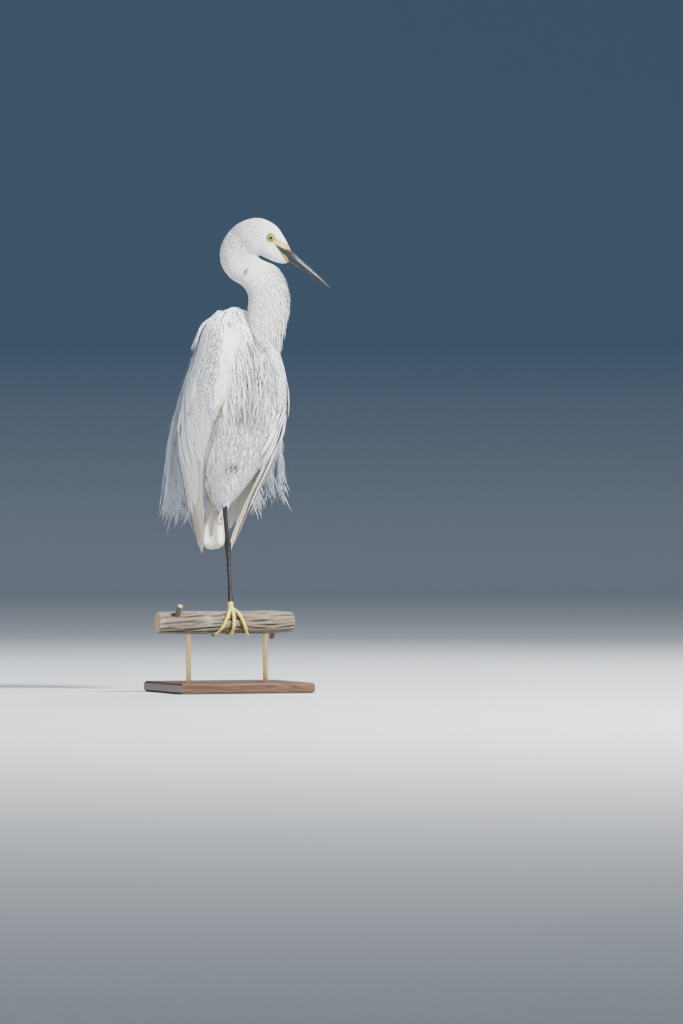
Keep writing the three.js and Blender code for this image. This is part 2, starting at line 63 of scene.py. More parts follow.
print("the frame has", len(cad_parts), "nodes and stands", round(cad_box[1][2], 3), "m high")

# %% [markdown]
# ## The view
# The bird was seen from far away and level with its body, a little from its right. A long lens far from
# the bird gives that flat perspective. One pixel of the frame, which is 683 by 1024, is 1.5 mm at the
# bird. The lens is worked out from that, so the framing follows if the distance is changed.

# %% Camera
MM = 0.001
VIEW_TURN = math.radians(-20)  # round the upright axis
VIEW_DISTANCE = 9.0
FRAME_HEIGHT = 1.536  # metres of the scene, from the frame's top to its foot
FRAME_CENTRE = (168.75 * MM, 270.5 * MM)  # to the right of the standing leg, and above the floor

view_right = Vector((math.cos(VIEW_TURN), math.sin(VIEW_TURN), 0))
view_back = Vector((math.sin(VIEW_TURN), -math.cos(VIEW_TURN), 0))
lens = bpy.data.cameras.new("view")
lens.sensor_width = 36
lens.lens = 36 * VIEW_DISTANCE / FRAME_HEIGHT
lens.clip_end = 60
camera = bpy.data.objects.new("view", lens)
bpy.context.scene.collection.objects.link(camera)
camera.location = (
    view_right * FRAME_CENTRE[0] + view_back * VIEW_DISTANCE + Vector((0, 0, FRAME_CENTRE[1]))
)
camera.rotation_euler = (math.pi / 2, 0, VIEW_TURN)
bpy.context.scene.camera = camera
print("lens", round(lens.lens, 1), "mm")

# %% [markdown]
# ## Meshes from arrays
# The coat has tens of thousands of feathers, and a Python loop over their corners would be slow. So every
# piece is worked out as arrays, and this helper hands the arrays to Blender in one go. Lengths are in
# millimetres until this point and in metres after it.

# %% Mesh helper
def add_mesh(name, corners, quads, tris=None, material=None):
    mesh = bpy.data.meshes.new(name)
    tris = np.zeros((0, 3), int) if tris is None else np.asarray(tris)
    quads = np.asarray(quads).reshape(-1, 4)
    loops = np.concatenate([quads.ravel(), tris.ravel()]).astype(np.int32)
    starts = np.concatenate([np.arange(len(quads)) * 4, len(quads) * 4 + np.arange(len(tris)) * 3])
    mesh.vertices.add(len(corners))
    mesh.vertices.foreach_set("co", (np.asarray(corners, float) * MM).ravel())
    mesh.loops.add(len(loops))
    mesh.loops.foreach_set("vertex_index", loops)
    mesh.polygons.add(len(starts))
    mesh.polygons.foreach_set("loop_start", starts.astype(np.int32))
    mesh.update(calc_edges=True)
    mesh.validate()
    mesh.polygons.foreach_set("use_smooth", np.ones(len(mesh.polygons), bool))
    if material is not None:
        mesh.materials.append(material)
    piece = bpy.data.objects.new(name, mesh)
    bpy.context.scene.collection.objects.link(piece)
    return piece


def set_map(piece, per_corner):
    mesh = piece.data
    which = np.empty(len(mesh.loops), np.int32)
    mesh.loops.foreach_get("vertex_index", which)
    layer = mesh.uv_layers.new(name="OFBake")
    layer.data.foreach_set("uv", np.asarray(per_corner, np.float32)[which].ravel())


def set_marks(piece, values):
    marks = piece.data.color_attributes.new("marks", "FLOAT_COLOR", "POINT")
    marks.data.foreach_set("color", np.asarray(values, np.float32).ravel())


# %% [markdown]
# ## Nodes for the finishes
# Every finish is a small tree of nodes round one Principled shader. Each helper below adds one thing to
# such a tree, a sum, a blend, a noise, a ramp or a relief, so that a finish reads from top to bottom.

# %% Node helpers
def add_node(tree, kind, **settings):
    node = tree.nodes.new(kind)
    for key, value in settings.items():
        setattr(node, key, value)
    return node


def maths(tree, operation, first, second=None, third=None):
    node = add_node(tree, "ShaderNodeMath", operation=operation)
    for slot_at, value in enumerate((first, second, third)):
        if value is None:
            continue
        if isinstance(value, (int, float)):
            node.inputs[slot_at].default_value = value
        else:
            tree.links.new(value, node.inputs[slot_at])
    return node.outputs[0]


def blend_colour(tree, factor, first, second):
    node = add_node(tree, "ShaderNodeMix", data_type="RGBA")
    for at, value in ((0, factor), (6, first), (7, second)):
        if isinstance(value, (int, float)):
            node.inputs[at].default_value = value
        elif isinstance(value, tuple):
            node.inputs[at].default_value = (*value, 1)
        else:
            tree.links.new(value, node.inputs[at])
    return node.outputs[2]


def new_material(name, roughness):
    material = bpy.data.materials.new(name)
    material.use_nodes = True
    shader = material.node_tree.nodes["Principled BSDF"]
    shader.inputs["Roughness"].default_value = roughness
    return material, material.node_tree, shader


def varnish(shader, weight, roughness):
    shader.inputs["Coat Weight"].default_value = weight
    shader.inputs["Coat Roughness"].default_value = roughness


def noise(tree, scale, detail, place=None, **settings):
    """A noise along a place of three numbers, or of one number when its settings say so."""
    node = add_node(tree, "ShaderNodeTexNoise", **settings)
    node.inputs["Scale"].default_value = scale
    node.inputs["Detail"].default_value = detail
    if place is not None:
        tree.links.new(place, node.inputs["W" if settings else "Vector"])
    return node.outputs[0]


def stretched_place(tree, scale):
    """The place on the object, squeezed along each axis, which draws a noise out into grain."""
    place = add_node(tree, "ShaderNodeTexCoord")
    stretch = add_node(tree, "ShaderNodeMapping")
    stretch.inputs["Scale"].default_value = scale
    tree.links.new(place.outputs["Object"], stretch.inputs[0])
    return place.outputs["Object"], stretch.outputs[0]


def colour_ramp(tree, source, stops):
    ramp = add_node(tree, "ShaderNodeValToRGB")
    for index, (at, colour) in enumerate(stops):
        stop = ramp.color_ramp.elements[index] if index < 2 else ramp.color_ramp.elements.new(at)
        stop.position = at
        stop.color = (*colour, 1)
    tree.links.new(source, ramp.inputs[0])
    return ramp.outputs[0]


def relief(tree, shader, height, strength, distance):
    bump = add_node(tree, "ShaderNodeBump")
    bump.inputs["Strength"].default_value = strength
    bump.inputs["Distance"].default_value = distance
    tree.links.new(height, bump.inputs["Height"])
    tree.links.new(bump.outputs[0], shader.inputs["Normal"])


def read_marks(tree):
    """The first three marks of the mesh as separate numbers."""
    marks = add_node(tree, "ShaderNodeAttribute", attribute_name="marks")
    parts = add_node(tree, "ShaderNodeSeparateColor")
    tree.links.new(marks.outputs["Color"], parts.inputs[0])
    return parts.outputs


print("helpers for sums, blends, noise, ramps and relief")

# %% [markdown]
# ## Floor, backdrop and light
# A model like this is photographed on a sweep: a pale floor that curves up behind the object, with no
# horizon. Here one profile is turned round the upright axis into a wide bowl, so that the bird has the
# same backdrop from every side. The bowl goes from pale grey at its floor to slate blue less than a metre
# up, against which the white plumage stands out. The sun stood high on the image's right, so the key
# light hangs there, and a wide dim one on the left keeps the shade open. A third, behind, lights the rim
# of the plumes.

# %% Sweep and lights
SWEEP = {"flat_until": 11.0, "radius": 4.0, "top": 13.0, "sides": 96}  # metres, but for the sides
# name, metres across, towards the camera and up, metres wide, watts, colour
LIGHTS = [
    ("key", (1.9, 1.7, 2.5), 0.7, 440, (1.0, 0.97, 0.92)),
    ("fill", (-2.4, 1.6, 1.0), 2.4, 34, (0.80, 0.88, 1.0)),
    ("rim", (0.6, -1.8, 2.2), 1.2, 70, (0.95, 0.97, 1.0)),
]
LIGHTS_AIM = Vector((0, 0, 0.42))
SKY_COLOUR, SKY_STRENGTH = (0.72, 0.80, 0.92, 1), 0.6


def sweep_rings():
    turn = np.linspace(0, math.pi / 2, 16)
    wall = SWEEP["flat_until"] + SWEEP["radius"]
    reach = np.concatenate([[0.01], SWEEP["flat_until"] + SWEEP["radius"] * np.sin(turn), [wall]])
    height = np.concatenate([[0.0], SWEEP["radius"] * (1 - np.cos(turn)), [SWEEP["top"]]])
    around = np.linspace(0, 2 * math.pi, SWEEP["sides"], endpoint=False)
    x, y = reach[:, None] * np.cos(around), reach[:, None] * np.sin(around)
    return np.stack(np.broadcast_arrays(x, y, height[:, None]), -1)


rings = sweep_rings()
count, sides = rings.shape[:2]
i, j = np.meshgrid(np.arange(count - 1), np.arange(sides), indexing="ij")
quads = np.stack(
    [i * sides + j, (i + 1) * sides + j, (i + 1) * sides + (j + 1) % sides, i * sides + (j + 1) % sides],
    -1,
)
paper, paper_tree, paper_shader = new_material("pale_paper", 0.9)
paper_place = add_node(paper_tree, "ShaderNodeTexCoord")
paper_height = add_node(paper_tree, "ShaderNodeSeparateXYZ")
paper_tree.links.new(paper_place.outputs["Object"], paper_height.inputs[0])
paper_colour = colour_ramp(
    paper_tree, paper_height.outputs["Z"], [(0.0, (0.50, 0.53, 0.56)), (0.9, (0.16, 0.24, 0.34))],
)
paper_tree.links.new(paper_colour, paper_shader.inputs["Base Color"])
backdrop = add_mesh("sweep", rings.reshape(-1, 3) / MM, quads.reshape(-1, 4), material=paper)
backdrop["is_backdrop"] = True


def area_light(name, place, size, power, colour):
    light = bpy.data.lights.new(name, "AREA")
    light.shape = "DISK"
    light.size = size
    light.energy = power
    light.color = colour
    lamp = bpy.data.objects.new(name, light)
    across, towards, up = place
    lamp.location = view_right * across + view_back * towards + Vector((0, 0, up))
    lamp.rotation_euler = (LIGHTS_AIM - lamp.location).to_track_quat("-Z", "Y").to_euler()
    bpy.context.scene.collection.objects.link(lamp)


for light_row in LIGHTS:
    area_light(*light_row)
world = bpy.data.worlds.new("studio")
bpy.context.scene.world = world
world.use_nodes = True
sky = world.node_tree.nodes["Background"]
sky.inputs["Color"].default_value = SKY_COLOUR
sky.inputs["Strength"].default_value = SKY_STRENGTH
print("one sweep and three lights")

# %% [markdown]
# ## The body's own surface
# A heron's body hangs almost upright, and its neck is folded in an S behind the throat. Both are given by
# short tables of sections, with smooth values between the rows. Modelling the bird by hand would do as
# well, but on a surface that is known as a formula each feather can ask where it stands and which way is
# down.

# %% Sections of the trunk and the wings
SOLE = 122.0  # millimetres from the floor to the sole of the standing foot
rng = np.random.default_rng(5)


def through(table):
    table = np.array(table, float)
    x, value = table[:, 0], table[:, 1:]
    slope = np.zeros_like(value)
    slope[1:-1] = (value[2:] - value[:-2]) / (x[2:] - x[:-2])[:, None]
    slope[0] = (value[1] - value[0]) / (x[1] - x[0])
    slope[-1] = (value[-1] - value[-2]) / (x[-1] - x[-2])

    def at(query):
        q = np.clip(np.asarray(query, float), x[0], x[-1])
        i = np.clip(np.searchsorted(x, q) - 1, 0, len(x) - 2)
        span = x[i + 1] - x[i]
        t = (q - x[i]) / span
        ease = (t * t * (3 - 2 * t))[..., None]
        leave = (t * (1 - t) ** 2 * span)[..., None] * slope[i]
        arrive = (t * t * (1 - t) * span)[..., None] * slope[i + 1]
        return value[i] + (value[i + 1] - value[i]) * ease + leave - arrive

    return at


# height above the sole, middle, half width, depth to the breast, depth to the back
trunk_section = through([
    [150, 40, 5, 4, 6], [162, 35, 18, 15, 18], [184, 27, 35, 30, 32], [212, 14, 52, 46, 42],
    [250, -2, 65, 58, 50], [290, -17, 70, 62, 54], [330, -30, 69, 61, 54], [370, -37, 61, 56, 51],
    [405, -37, 48, 44, 44], [432, -32, 35, 31, 33], [448, -28, 21, 18, 21], [455, -26, 9, 8, 10],
])
wing_section = through([
    [90, 60, 24, 8, 10], [121, 54, 35, 18, 20], [166, 40, 51, 34, 36], [200, 24, 63, 49, 46],
    [234, 8, 74, 59, 54], [271, -7, 80, 66, 60], [316, -25, 79, 67, 62], [350, -34, 74, 65, 61],
    [380, -38, 65, 59, 57], [410, -37, 54, 50, 49], [432, -32, 43, 38, 40], [450, -27, 28, 23, 27],
])


def around(section, angle, height, out=0.0):
    middle, wide, front, hind = np.moveaxis(section(height), -1, 0)
    deep = np.where(np.cos(angle) > 0, front, hind)
    x = (wide + out) * np.sin(angle)
    y = middle - (deep + out) * np.cos(angle)
    return np.stack(np.broadcast_arrays(x, y, SOLE + height), -1)


# %% [markdown]
# The head and the neck lie in one upright plane that faces the camera, so the bill points to the bird's
# left and a little forwards. Each row pairs a point of the hind outline with one of the fore outline, so
# the rings fan round the tight bend under the chin without crossing each other. That bend is what makes a
# resting egret look like one.

# %% Rings of the head and the neck
NECK_TURN = math.radians(20)
# hind point and fore point (across, height), half thickness, how far forward the middle lies
NECK_ROWS = [
    [93, 541, 90, 521, 8, 30], [83, 559, 80, 519.5, 13, 30], [70, 577, 68, 522.5, 17.5, 30],
    [46, 588, 56, 528, 20.5, 30], [20, 583, 47.5, 532, 22, 30], [-2, 567, 45, 532, 23, 30],
    [-14, 543, 45.5, 530, 23.5, 30], [-13, 519, 50, 526.5, 24, 30], [0, 498, 60, 522, 24.5, 31],
    [18, 486, 71, 514, 25, 33], [27.5, 471, 80.5, 497.5, 25.5, 36], [27, 450, 87.5, 474, 26, 39],
    [22, 425, 87, 448, 28, 41], [11, 396, 79, 413, 32, 40], [2, 362, 66, 368, 31, 30],
]
neck_outline = through([[i, *row] for i, row in enumerate(NECK_ROWS)])


def in_neck_plane(across, forward, height):
    c, s = math.cos(NECK_TURN), math.sin(NECK_TURN)
    return np.stack(
        np.broadcast_arrays(across * c - forward * s, -across * s - forward * c, SOLE + height), -1,
    )


def neck_surface(station, turn, out=0.0):
    a, ha, b, hb, thick, forward = np.moveaxis(neck_outline(station), -1, 0)
    long = np.hypot(a - b, ha - hb) / 2
    along = np.cos(turn) * (long + out) / long
    return in_neck_plane(
        (a + b) / 2 + along * (a - b) / 2,
        forward + np.sin(turn) * (thick + out),
        (ha + hb) / 2 + along * (ha - hb) / 2,
    )


def unit(v):
    return v / np.maximum(np.linalg.norm(v, axis=-1, keepdims=True), 1e-9)


crown = float(neck_surface(np.array([3.2]), np.array([0.0]))[0, 2])
print("surfaces ready, crown", round(crown, 1), "mm up")

# %% [markdown]
# ## Skin
# Under the coat is one skin from the bill to the tail, set in from the solids by the depth of the
# feathers. The trunk, the neck, the thigh and the root of the tail are drawn as closed forms. A voxel
# remesh then makes one surface of them, which a boolean union could do too, though with sharp seams where
# they meet.

# %% Closed forms and the skin
def tube(rings):
    rings = np.asarray(rings)
    count, sides = rings.shape[:2]
    corners = np.concatenate([rings.reshape(-1, 3), rings[0].mean(0)[None], rings[-1].mean(0)[None]])
    i, j = np.meshgrid(np.arange(count - 1), np.arange(sides), indexing="ij")
    a, b = i * sides + j, i * sides + (j + 1) % sides
    quads = np.stack([a, b, b + sides, a + sides], -1).reshape(-1, 4)
    j = np.arange(sides)
    start = np.stack([np.full(sides, count * sides), (j + 1) % sides, j], -1)
    last = (count - 1) * sides
    end = np.stack([np.full(sides, count * sides + 1), last + j, last + (j + 1) % sides], -1)
    return corners, quads, np.concatenate([start, end])


def closed_form(name, surface, first, sides, out):
    turn = np.linspace(0, 2 * math.pi, sides, endpoint=False)
    rings = [surface(np.full(sides, f), turn, out) for f in first]
    return add_mesh(name, *tube(rings))


def trunk_surface(height, angle, out=0.0):
    return around(trunk_section, angle, height, out)


# millimetres from the outline in to the skin, which the feathers fill
TRUNK_COAT = 4.0
NECK_COAT = 2.4
FACE_COAT = 0.7
SKIN_VOXEL = 2.2
# x, y, height over the sole and radius
THIGH_STATIONS = [[-9, 2, 236, 28], [-7, 0, 205, 24], [-5, 3, 178, 14], [-4, 8, 160, 5.4]]
skin_parts = [
    closed_form("trunk_form", trunk_surface, np.linspace(150, 455, 60), 72, -TRUNK_COAT),
    closed_form("neck_form", neck_surface, np.linspace(2.2, 14, 90), 64, -NECK_COAT),
    closed_form("face_form", neck_surface, np.linspace(0, 4.2, 40), 64, -FACE_COAT),
]


def ring_along(stations, sides, out=0.0, pace=8):
    curve = through([[i, *row] for i, row in enumerate(stations)])
    t = np.linspace(0, len(stations) - 1, (len(stations) - 1) * pace + 1)
    x, y, h, r = np.moveaxis(curve(t), -1, 0)
    middle = np.stack([x, y, SOLE + h], -1)
    ahead = unit(np.gradient(middle, axis=0))
    side = unit(np.cross(ahead, [1.0, 0.001, 0.0]))
    other = np.cross(ahead, side)
    turn = np.linspace(0, 2 * math.pi, sides, endpoint=False)
    wheel = side[:, None] * np.cos(turn)[None, :, None] + other[:, None] * np.sin(turn)[None, :, None]
    return middle[:, None] + wheel * (r + out)[:, None, None]


skin_parts.append(add_mesh("thigh_form", *tube(ring_along(THIGH_STATIONS, 40, -2.0))))
tail_root = [[-1, 36, 212, 16], [-2, 43, 190, 13], [-3, 48, 168, 9], [-3, 51, 150, 4]]
skin_parts.append(add_mesh("tail_form", *tube(ring_along(tail_root, 32))))

bpy.ops.object.select_all(action="DESELECT")
for part in skin_parts:
    part.select_set(True)
bpy.context.view_layer.objects.active = skin_parts[0]
bpy.ops.object.join()
skin = bpy.context.view_layer.objects.active
skin.name = skin.data.name = "skin"
remesh = skin.modifiers.new("one surface", "REMESH")
remesh.mode = "VOXEL"
remesh.voxel_size = SKIN_VOXEL * MM
relax = skin.modifiers.new("relax", "SMOOTH")
relax.iterations = 6
for step in list(skin.modifiers):
    bpy.ops.object.modifier_apply(modifier=step.name)
skin.data.polygons.foreach_set("use_smooth", np.ones(len(skin.data.polygons), bool))
print("the skin has", len(skin.data.polygons), "faces")

# %% [markdown]
# ## Feather finish
# White plumage is never one flat white. Each feather is a little greyer and bluer at its root, where it
# is in shade and thin, and that grey is painted shade. It has a raised shaft and is ruled by fine barbs that
# run out from the shaft to its tip. Every feather corner carries four marks for that: how far along it is,
# how far across, a draw of its own, and how much of a second colour it takes. That colour is a brownish tint
# on the flight feathers and the tail, and painted shade on the other coats that take it. One node group
# turns the marks into a colour and a height, and each coat sets its own amounts. Painted textures would do
# it too, but they would need a separate map for every coat.

# %% Barb node group
def socket(tree, name, way, kind, value=None):
    made = tree.interface.new_socket(name=name, in_out=way, socket_type=kind)
    if value is not None:
        made.default_value = value


barbs = bpy.data.node_groups.new("feather_barbs", "ShaderNodeTree")
socket(barbs, "Marks", "INPUT", "NodeSocketColor")
socket(barbs, "Tint and shade mark", "INPUT", "NodeSocketFloat")
for label, colour in (
    ("Tip", (0.84, 0.85, 0.86, 1)), ("Root", (0.6, 0.64, 0.7, 1)), ("Cream", (0.75, 0.68, 0.55, 1)),
):
    socket(barbs, label, "INPUT", "NodeSocketColor", colour)
socket(barbs, "Barbs", "INPUT", "NodeSocketFloat", 40.0)
socket(barbs, "Variation", "INPUT", "NodeSocketFloat", 0.08)
socket(barbs, "Colour", "OUTPUT", "NodeSocketColor")
socket(barbs, "Height", "OUTPUT", "NodeSocketFloat")
taken = barbs.nodes.new("NodeGroupInput")
given = barbs.nodes.new("NodeGroupOutput")
split = add_node(barbs, "ShaderNodeSeparateColor")
barbs.links.new(taken.outputs["Marks"], split.inputs[0])
along, across, own = split.outputs
off_shaft = maths(barbs, "ABSOLUTE", maths(barbs, "SUBTRACT", across, 0.5))
lean = maths(barbs, "MULTIPLY_ADD", off_shaft, -0.5, along)
wave = maths(
    barbs, "SINE",
    maths(barbs, "MULTIPLY", lean, maths(barbs, "MULTIPLY", taken.outputs["Barbs"], 6.283)),
)
fray = noise(barbs, 9.0, 2.0, maths(barbs, "MULTIPLY_ADD", own, 50.0, lean), noise_dimensions="1D")
shaft = maths(barbs, "LESS_THAN", off_shaft, 0.035)
# painted shade: each feather darkens towards the Root colour at its root
rooty = maths(barbs, "POWER", maths(barbs, "SUBTRACT", 1.0, along), 2.2)
base = blend_colour(barbs, rooty, taken.outputs["Tip"], taken.outputs["Root"])
# the second colour: a brownish tint on the flights and the tail, painted shade on the other coats
tinted_and_shaded = blend_colour(barbs, taken.outputs["Tint and shade mark"], base, taken.outputs["Cream"])
streak = maths(
    barbs, "ADD", maths(barbs, "MULTIPLY", wave, 0.015), maths(barbs, "SUBTRACT", fray, 0.5),
)
spread = maths(barbs, "ADD", streak, maths(barbs, "SUBTRACT", own, 0.5))
gain = maths(barbs, "MULTIPLY_ADD", spread, taken.outputs["Variation"], 1.0)
lit = add_node(barbs, "ShaderNodeVectorMath", operation="SCALE")
barbs.links.new(tinted_and_shaded, lit.inputs[0])
barbs.links.new(gain, lit.inputs["Scale"])
barbs.links.new(lit.outputs[0], given.inputs["Colour"])
ridge = maths(barbs, "MULTIPLY_ADD", shaft, 1.6, wave)
barbs.links.new(ridge, given.inputs["Height"])


def feather_material(name, tip, root, tint_and_shade, barb_count, variation, bump=0.25, roughness=0.62):
    material, tree, shader = new_material(name, roughness)
    marks = add_node(tree, "ShaderNodeAttribute", attribute_name="marks")
    group = add_node(tree, "ShaderNodeGroup", node_tree=barbs)
    tree.links.new(marks.outputs["Color"], group.inputs["Marks"])
    tree.links.new(marks.outputs["Alpha"], group.inputs["Tint and shade mark"])
    for label, colour in (("Tip", tip), ("Root", root), ("Cream", tint_and_shade)):
        group.inputs[label].default_value = (*colour, 1)
    group.inputs["Barbs"].default_value = barb_count
    group.inputs["Variation"].default_value = variation
    relief(tree, shader, group.outputs["Height"], bump, 0.2 * MM)
    tree.links.new(group.outputs["Colour"], shader.inputs["Base Color"])
    shader.inputs["Specular IOR Level"].default_value = 0.25
    shader.inputs["Sheen Weight"].default_value = 0.15
    return material


WHITE, SHADE, CREAM = (0.89, 0.89, 0.89), (0.865, 0.875, 0.89), (0.74, 0.66, 0.52)
silky = feather_material("silky_neck_feather", (0.91, 0.91, 0.905), (0.85, 0.87, 0.89), CREAM, 14, 0.03)
# painted shade: the downy finish's dark olive second colour is shade between the breast plumes, and its grey
# root is shade too
downy = feather_material("downy_body_feather", WHITE, SHADE, (0.25, 0.22, 0.15), 18, 0.02, bump=0.12)
# painted shade: the blue-grey root and grey-brown second colour of the coverts stand for shade where they
# overlap and along their edges
covert = feather_material(
    "covert_vane", WHITE, (0.74, 0.77, 0.82), (0.36, 0.34, 0.31), 34, 0.05, roughness=0.55,
)
flight = feather_material(
    "flight_vane", (0.86, 0.86, 0.85), (0.76, 0.76, 0.77), (0.46, 0.35, 0.20), 80, 0.05, roughness=0.5,
)
# painted shade: the breast plume finish's dark olive second colour is the shade between the plumes
plumed = feather_material(
    "breast_plume", (0.90, 0.90, 0.89), (0.78, 0.80, 0.82), (0.20, 0.17, 0.11), 60, 0.08,
)
# painted shade: the hanging plumes are as white as the rest, and the blue-grey of this finish stands for the
# shade they hang in
hanging = feather_material("hanging_plume", (0.80, 0.84, 0.89), (0.62, 0.68, 0.76), CREAM, 60, 0.12)
print("six feather finishes from one group")

# %% [markdown]
# ## How a feather is laid
# Every feather follows the surface that it grows from. Its centre line is a path on that surface, a
# little sunk at the root and a little proud at the tip, so the next row starts under it, as roof tiles
# do. A small feather is three strips round a flat three-sided section. A large vane is a cambered plate
# with two faces. Both are closed meshes, so they print and export as they are.

# %% Laying feathers
PATCH = 0.003  # the share of the bake map's side that one feather takes


def paths(surface, first, second, out):
    """Points and outward normals for arrays of feathers by rows."""
    step = 1e-2
    here = surface(first, second, out)
    normal = np.cross(surface(first + step, second, out) - here, surface(first, second + step, out) - here)
    normal = unit(normal)
    outwards = np.sum(normal * (surface(first, second, out + 1.0) - here), -1, keepdims=True)
    return here, normal * np.where(outwards < 0, -1.0, 1.0)


def across_feather(centre, normal, roll):
    ahead = unit(np.gradient(centre, axis=1))
    side = unit(np.cross(ahead, normal))
    up = np.cross(side, ahead)
    tilt = np.asarray(roll)[..., None]
    return side * np.cos(tilt) + up * np.sin(tilt), up * np.cos(tilt) - side * np.sin(tilt)


def finish_coat(name, corners, quads, tris, along, across, own, tint_and_shade, place, material):
    """Makes the piece, sets its four marks and maps each feather to a patch at its root's place."""
    piece = add_mesh(name, corners.reshape(-1, 3), quads, tris, material)
    shape = along.shape
    marks = np.stack(np.broadcast_arrays(along, across, own, tint_and_shade), -1).reshape(-1, 4)
    set_marks(piece, marks)
    spot = np.stack([(along - 0.5) * PATCH, (across - 0.5) * PATCH], -1)
    where = np.clip(place, 0.004, 0.996).reshape(len(place), *([1] * (len(shape) - 1)), 2) + spot
    set_map(piece, where.reshape(-1, 2))
    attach(piece, "root")
    triangles = 2 * len(quads) + len(tris)
    print(name, shape[0], "feathers,", triangles, "triangles")
    return piece


def lay_small(name, centre, normal, half, thick, place, tint_and_shade=0.0, roll=0.0, material=silky):
    count, rows = centre.shape[:2]
    side, up = across_feather(centre, normal, np.broadcast_to(roll, (count, rows)))
    corners = np.stack(
        [centre - side * half[..., None], centre + up * thick[..., None], centre + side * half[..., None]],
        2,
    )
    start = np.arange(count)[:, None, None] * rows * 3 + np.arange(rows - 1)[None, :, None] * 3
    ring = np.array([[0, 1], [1, 2], [2, 0]])
    quads = np.stack(
        [start + ring[:, 0], start + ring[:, 1], start + ring[:, 1] + 3, start + ring[:, 0] + 3], -1,
    )
    root = np.arange(count)[:, None] * rows * 3 + np.array([2, 1, 0])
    tip = np.arange(count)[:, None] * rows * 3 + (rows - 1) * 3 + np.array([0, 1, 2])
    along = np.broadcast_to(np.linspace(0, 1, rows)[None, :, None], (count, rows, 3))
    across = np.broadcast_to(np.array([0.0, 0.5, 1.0]), (count, rows, 3))
    own = rng.random(count)[:, None, None]
    tint_and_shade = np.asarray(tint_and_shade, float).reshape(-1, 1, 1)
    return finish_coat(
        name, corners, quads.reshape(-1, 4), np.concatenate([root, tip]), along, across, own, tint_and_shade,
        place, material,
    )


def plate_between(name, top, under, keep, values, material):
    """A closed plate from two grids of points, of the quads where keep is true."""
    rows, columns = keep.shape
    i, j = np.nonzero(keep)
    a = i * (columns + 1) + j
    face = np.stack([a, a + 1, a + columns + 2, a + columns + 1], -1)
    sheet = (rows + 1) * (columns + 1)
    edges = np.stack([face, np.roll(face, -1, 1)], -1).reshape(-1, 2)
    key = edges[:, 0] * sheet + edges[:, 1]
    rim = edges[~np.isin(key, edges[:, 1] * sheet + edges[:, 0])]
    side = np.stack([rim[:, 0], rim[:, 0] + sheet, rim[:, 1] + sheet, rim[:, 1]], -1)
    quads = np.concatenate([face, face[:, ::-1] + sheet, side])
    used, where = np.unique(quads, return_inverse=True)
    corners = np.concatenate([top.reshape(-1, 3), under.reshape(-1, 3)])[used]
    piece = add_mesh(name, corners, where.reshape(-1, 4), None, material)
    set_marks(piece, np.concatenate([values.reshape(-1, 4)] * 2)[used])
    return piece


def lay_vanes(
    name, centre, normal, half, thick, place, camber, tint_and_shade, roll, columns, material, fray=0.03,
):
    count, rows = centre.shape[:2]
    side, up = across_feather(centre, normal, np.broadcast_to(roll, (count, rows)))
    c = np.linspace(-1, 1, columns)
    ragged = 1 + fray * rng.standard_normal((count, rows, columns)) * (np.abs(c) > 0.9)
    reach = half[..., None] * c * ragged
    drop = camber * reach**2
    body = thick[..., None] * (1.05 - c**2)
    middle = centre[:, :, None] + side[:, :, None] * reach[..., None]
    top = middle + up[:, :, None] * (body - drop)[..., None]
    under = middle - up[:, :, None] * (0.15 * body + drop)[..., None]
    corners = np.stack([top, under], 1)
    sheet = rows * columns
    i, j = np.meshgrid(np.arange(rows - 1), np.arange(columns - 1), indexing="ij")
    a = (i * columns + j).ravel()
    face = np.stack([a, a + 1, a + columns + 1, a + columns], -1)
    rim = np.concatenate([
        np.arange(columns - 1), np.arange(rows - 1) * columns + columns - 1,
        (rows - 1) * columns + np.arange(columns - 1, 0, -1), np.arange(rows - 1, 0, -1) * columns,
    ])
    after = np.roll(rim, -1)
    edge = np.stack([rim, rim + sheet, after + sheet, after], -1)
    one = np.concatenate([face, face[:, ::-1] + sheet, edge])
    quads = (np.arange(count)[:, None, None] * 2 * sheet + one[None]).reshape(-1, 4)
    along = np.broadcast_to(np.linspace(0, 1, rows)[None, None, :, None], (count, 2, rows, columns))
    across = np.broadcast_to((c + 1) / 2, (count, 2, rows, columns))
    own = rng.random(count)[:, None, None, None]
    tint_and_shade = np.asarray(tint_and_shade, float)
    tint_and_shade = tint_and_shade.reshape(-1, 1, 1, 1) if tint_and_shade.ndim < 3 else tint_and_shade[:, None]
    return finish_coat(
        name, corners, quads, np.zeros((0, 3), int), along, across, own, tint_and_shade, place, material,
    )


def thinned(points, spacing, seed):
    """One point for each cell of the given size, drawn in a seeded order."""
    order = np.random.default_rng(seed).permutation(len(points))
    size = np.asarray(spacing)[order, None] if np.ndim(spacing) else spacing
    cell = np.floor(points[order] / size)
    _, first = np.unique(cell.astype(int), axis=0, return_index=True)
    return order[first]


# %% [markdown]
# ## Head and neck coat
# The head and the neck of an egret look like silk: thousands of short narrow feathers that lie close and
# run from the bill over the crown, round the bend and down. Their length grows from about 3 mm on the
# face to about 20 mm at the foot of the neck. The bare skin between the eye and the bill stays free of
# them.

# %% Head and neck feathers
EYE_AT = (63.5, 557.5)  # across and above the sole, in the plane of the head
BARE_RING = 6.4  # from the middle of the eye to the outer rim of its bare ring
# bare skin before the eye, its furrow, and the horn that runs into the face: across, height, half width
LORE = [(69.0, 553.5, 3.4), (76.0, 549.0, 4.0), (84.0, 545.0, 4.6), (91.0, 541.0, 5.5)]
LORE_FURROW = [(70, 552, 0), (80, 547, 0), (88, 543.5, 0)]
HORN_WEDGE = [(73.0, 545.0, 0.6), (80.0, 538.8, 2.6), (87.0, 533.0, 5.3), (92.0, 529.0, 8.0)]


